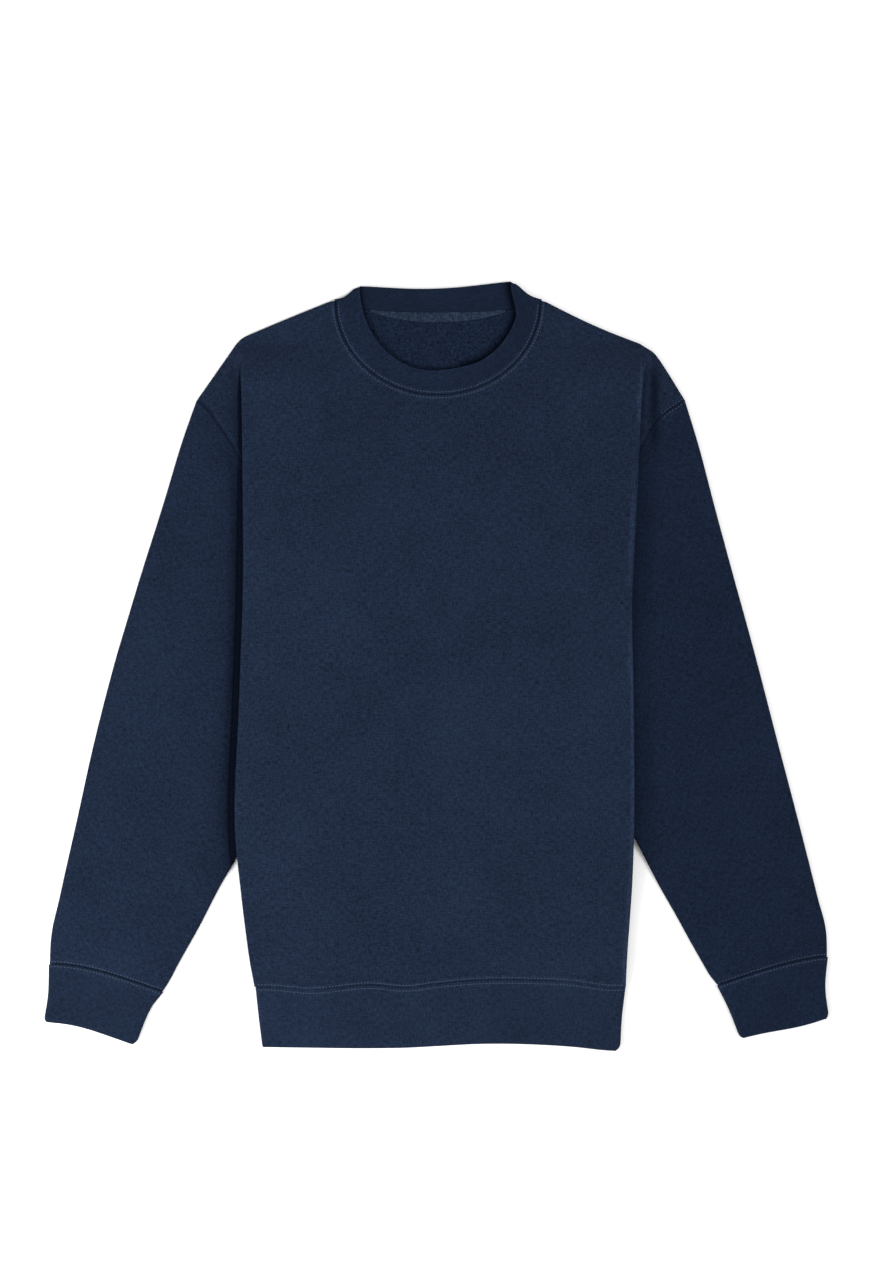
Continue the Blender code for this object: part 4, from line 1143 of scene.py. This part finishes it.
paleStitches, matchingStitches = stitchTree(cloths["thread"]), stitchTree(cloths["matching"])
angles = stitches["collarReach"] * np.linspace(-1, 1, 200)
runs = []
for body, front in (("frontBody", True), ("backBody", False)):
    tree, seam = clothTree((body, "collarBand")), neckPoint(angles, 0, front)
    for aside in stitches["collar"]:
        runs += layOn(tree, besideLine(seam, aside), front)
sew("collarStitches", runs)
hemRun = np.linspace(-166, 172, 240)
hemRun = np.stack([hemRun, follow(hem["x"], hem["seam"], hemRun)], axis=-1)
bands = [(("frontBody", "waistband", "backBody"), hemRun, stitches["hem"], "waistStitches")]
for side, sign in sides:
    bands.append(((side + "Sleeve", side + "Cuff"), evenly(cuffLines[side], 1.2), stitches["cuff"],
                  side + "CuffStitches"))
for names, line, asides, name in bands:
    tree = clothTree(names)
    turned = -1 if line[0, 0] > line[-1, 0] else 1
    runs = []
    for aside in asides:
        for above in (True, False):
            runs += layOn(tree, besideLine(line, aside * turned), above)
    sew(name, runs)
for side, sign in sides:
    tree = clothTree((side + "Sleeve", "frontBody", "backBody"))
    line = armholeLine(side)
    line = line[sign * line[:, 0] > sideEdge(side, line[:, 1]) + 5]
    runs = []
    pale = np.abs(line[:, 0]) >= stitches["paleFrom"]
    for aside in stitches["armhole"]:
        for part in (line[pale], line[~pale]):
            for above in (True, False):
                runs += layOn(tree, besideLine(evenly(part, 1.5), -aside * sign), above)
    sew(side + "ArmholeStitches", runs, lambda run: run[0][0].x + run[-1][0].x > stitches["paleFrom"] / 500)
for name, item in pieces.items():
    print(name, len(item.data.vertices), "points")

print("placing")
nodes = {"frontBody": "front_panel", "backBody": "back_panel", "leftSleeve": "sleeve_left",
         "rightSleeve": "sleeve_right", "leftCuff": "cuff_left", "rightCuff": "cuff_right",
         "waistband": "hem_rib", "collarBand": "neck_rib", "backNeckTape": "neck_tape"}
for name, item in pieces.items():
    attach(item, "root")
    if name not in nodes:
        continue
    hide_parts(nodes[name])

print("stage")
tableTop = {"half": 9.0, "below": 0.0004, "Base Color": (0.92, 0.92, 0.92, 1), "Roughness": 0.9,
            "Specular IOR Level": 0.1}
floorMesh = bpy.data.meshes.new("tableTop")
corners = ((-1, -1), (1, -1), (1, 1), (-1, 1))
corners = [(x * tableTop["half"], y * tableTop["half"], -tableTop["below"]) for x, y in corners]
floorMesh.from_pydata(corners, [], [(0, 1, 2, 3)])
floor = addObject("tableTop", floorMesh)
pale = bpy.data.materials.new("paleTable")
pale.use_nodes = True
for socket in ("Base Color", "Roughness", "Specular IOR Level"):
    pale.node_tree.nodes["Principled BSDF"].inputs[socket].default_value = tableTop[socket]
floorMesh.materials.append(pale)

studio = {
    "sky": 0.79, "backdrop": 0.97,    # how strong the sky is as light and as seen
    "fromLeft": {"place": (-0.9, -0.5, 0.8), "size": 0.8, "power": 15.0},
    "fromRight": {"elevation": 56.0, "azimuth": -8.0, "softness": 26.0, "strength": 1.5},
}
world = bpy.data.worlds.new("studioSky")
world.use_nodes = True
bench = nodeBench(world.node_tree)
seen = bench.add("ShaderNodeLightPath").outputs["Is Camera Ray"]
strength = bench.math("MULTIPLY_ADD", seen, studio["backdrop"] - studio["sky"], studio["sky"])
world.node_tree.links.new(strength, world.node_tree.nodes["Background"].inputs["Strength"])
world.node_tree.nodes["Background"].inputs["Color"].default_value = (1, 1, 1, 1)
bpy.context.scene.world = world


def addLamp(name, kind, place):
    # a lamp that points at the middle of the table
    item = addObject(name, bpy.data.lights.new(name, kind))
    item.location = place
    item.rotation_euler = (-Vector(place)).to_track_quat("-Z", "Y").to_euler()
    return item.data


values = studio["fromLeft"]
lamp = addLamp("fromLeft", "AREA", values["place"])
lamp.shape, lamp.size, lamp.energy = "DISK", values["size"], values["power"]
values = studio["fromRight"]
rise, turn = math.radians(values["elevation"]), math.radians(values["azimuth"])
reach = 3 * math.cos(rise)
lamp = addLamp("fromRight", "SUN", (reach * math.cos(turn), reach * math.sin(turn), 3 * math.sin(rise)))
lamp.angle, lamp.energy = math.radians(values["softness"]), values["strength"]

view = {"lens": 85, "sensor": 36, "place": (0.0056, 0.0232, 2.824)}
cameraData = bpy.data.cameras.new("overhead")
cameraData.lens, cameraData.sensor_width = view["lens"], view["sensor"]
camera = addObject("overhead", cameraData)
camera.location = view["place"]
bpy.context.scene.camera = camera
bpy.context.scene.view_settings.view_transform = "Standard"
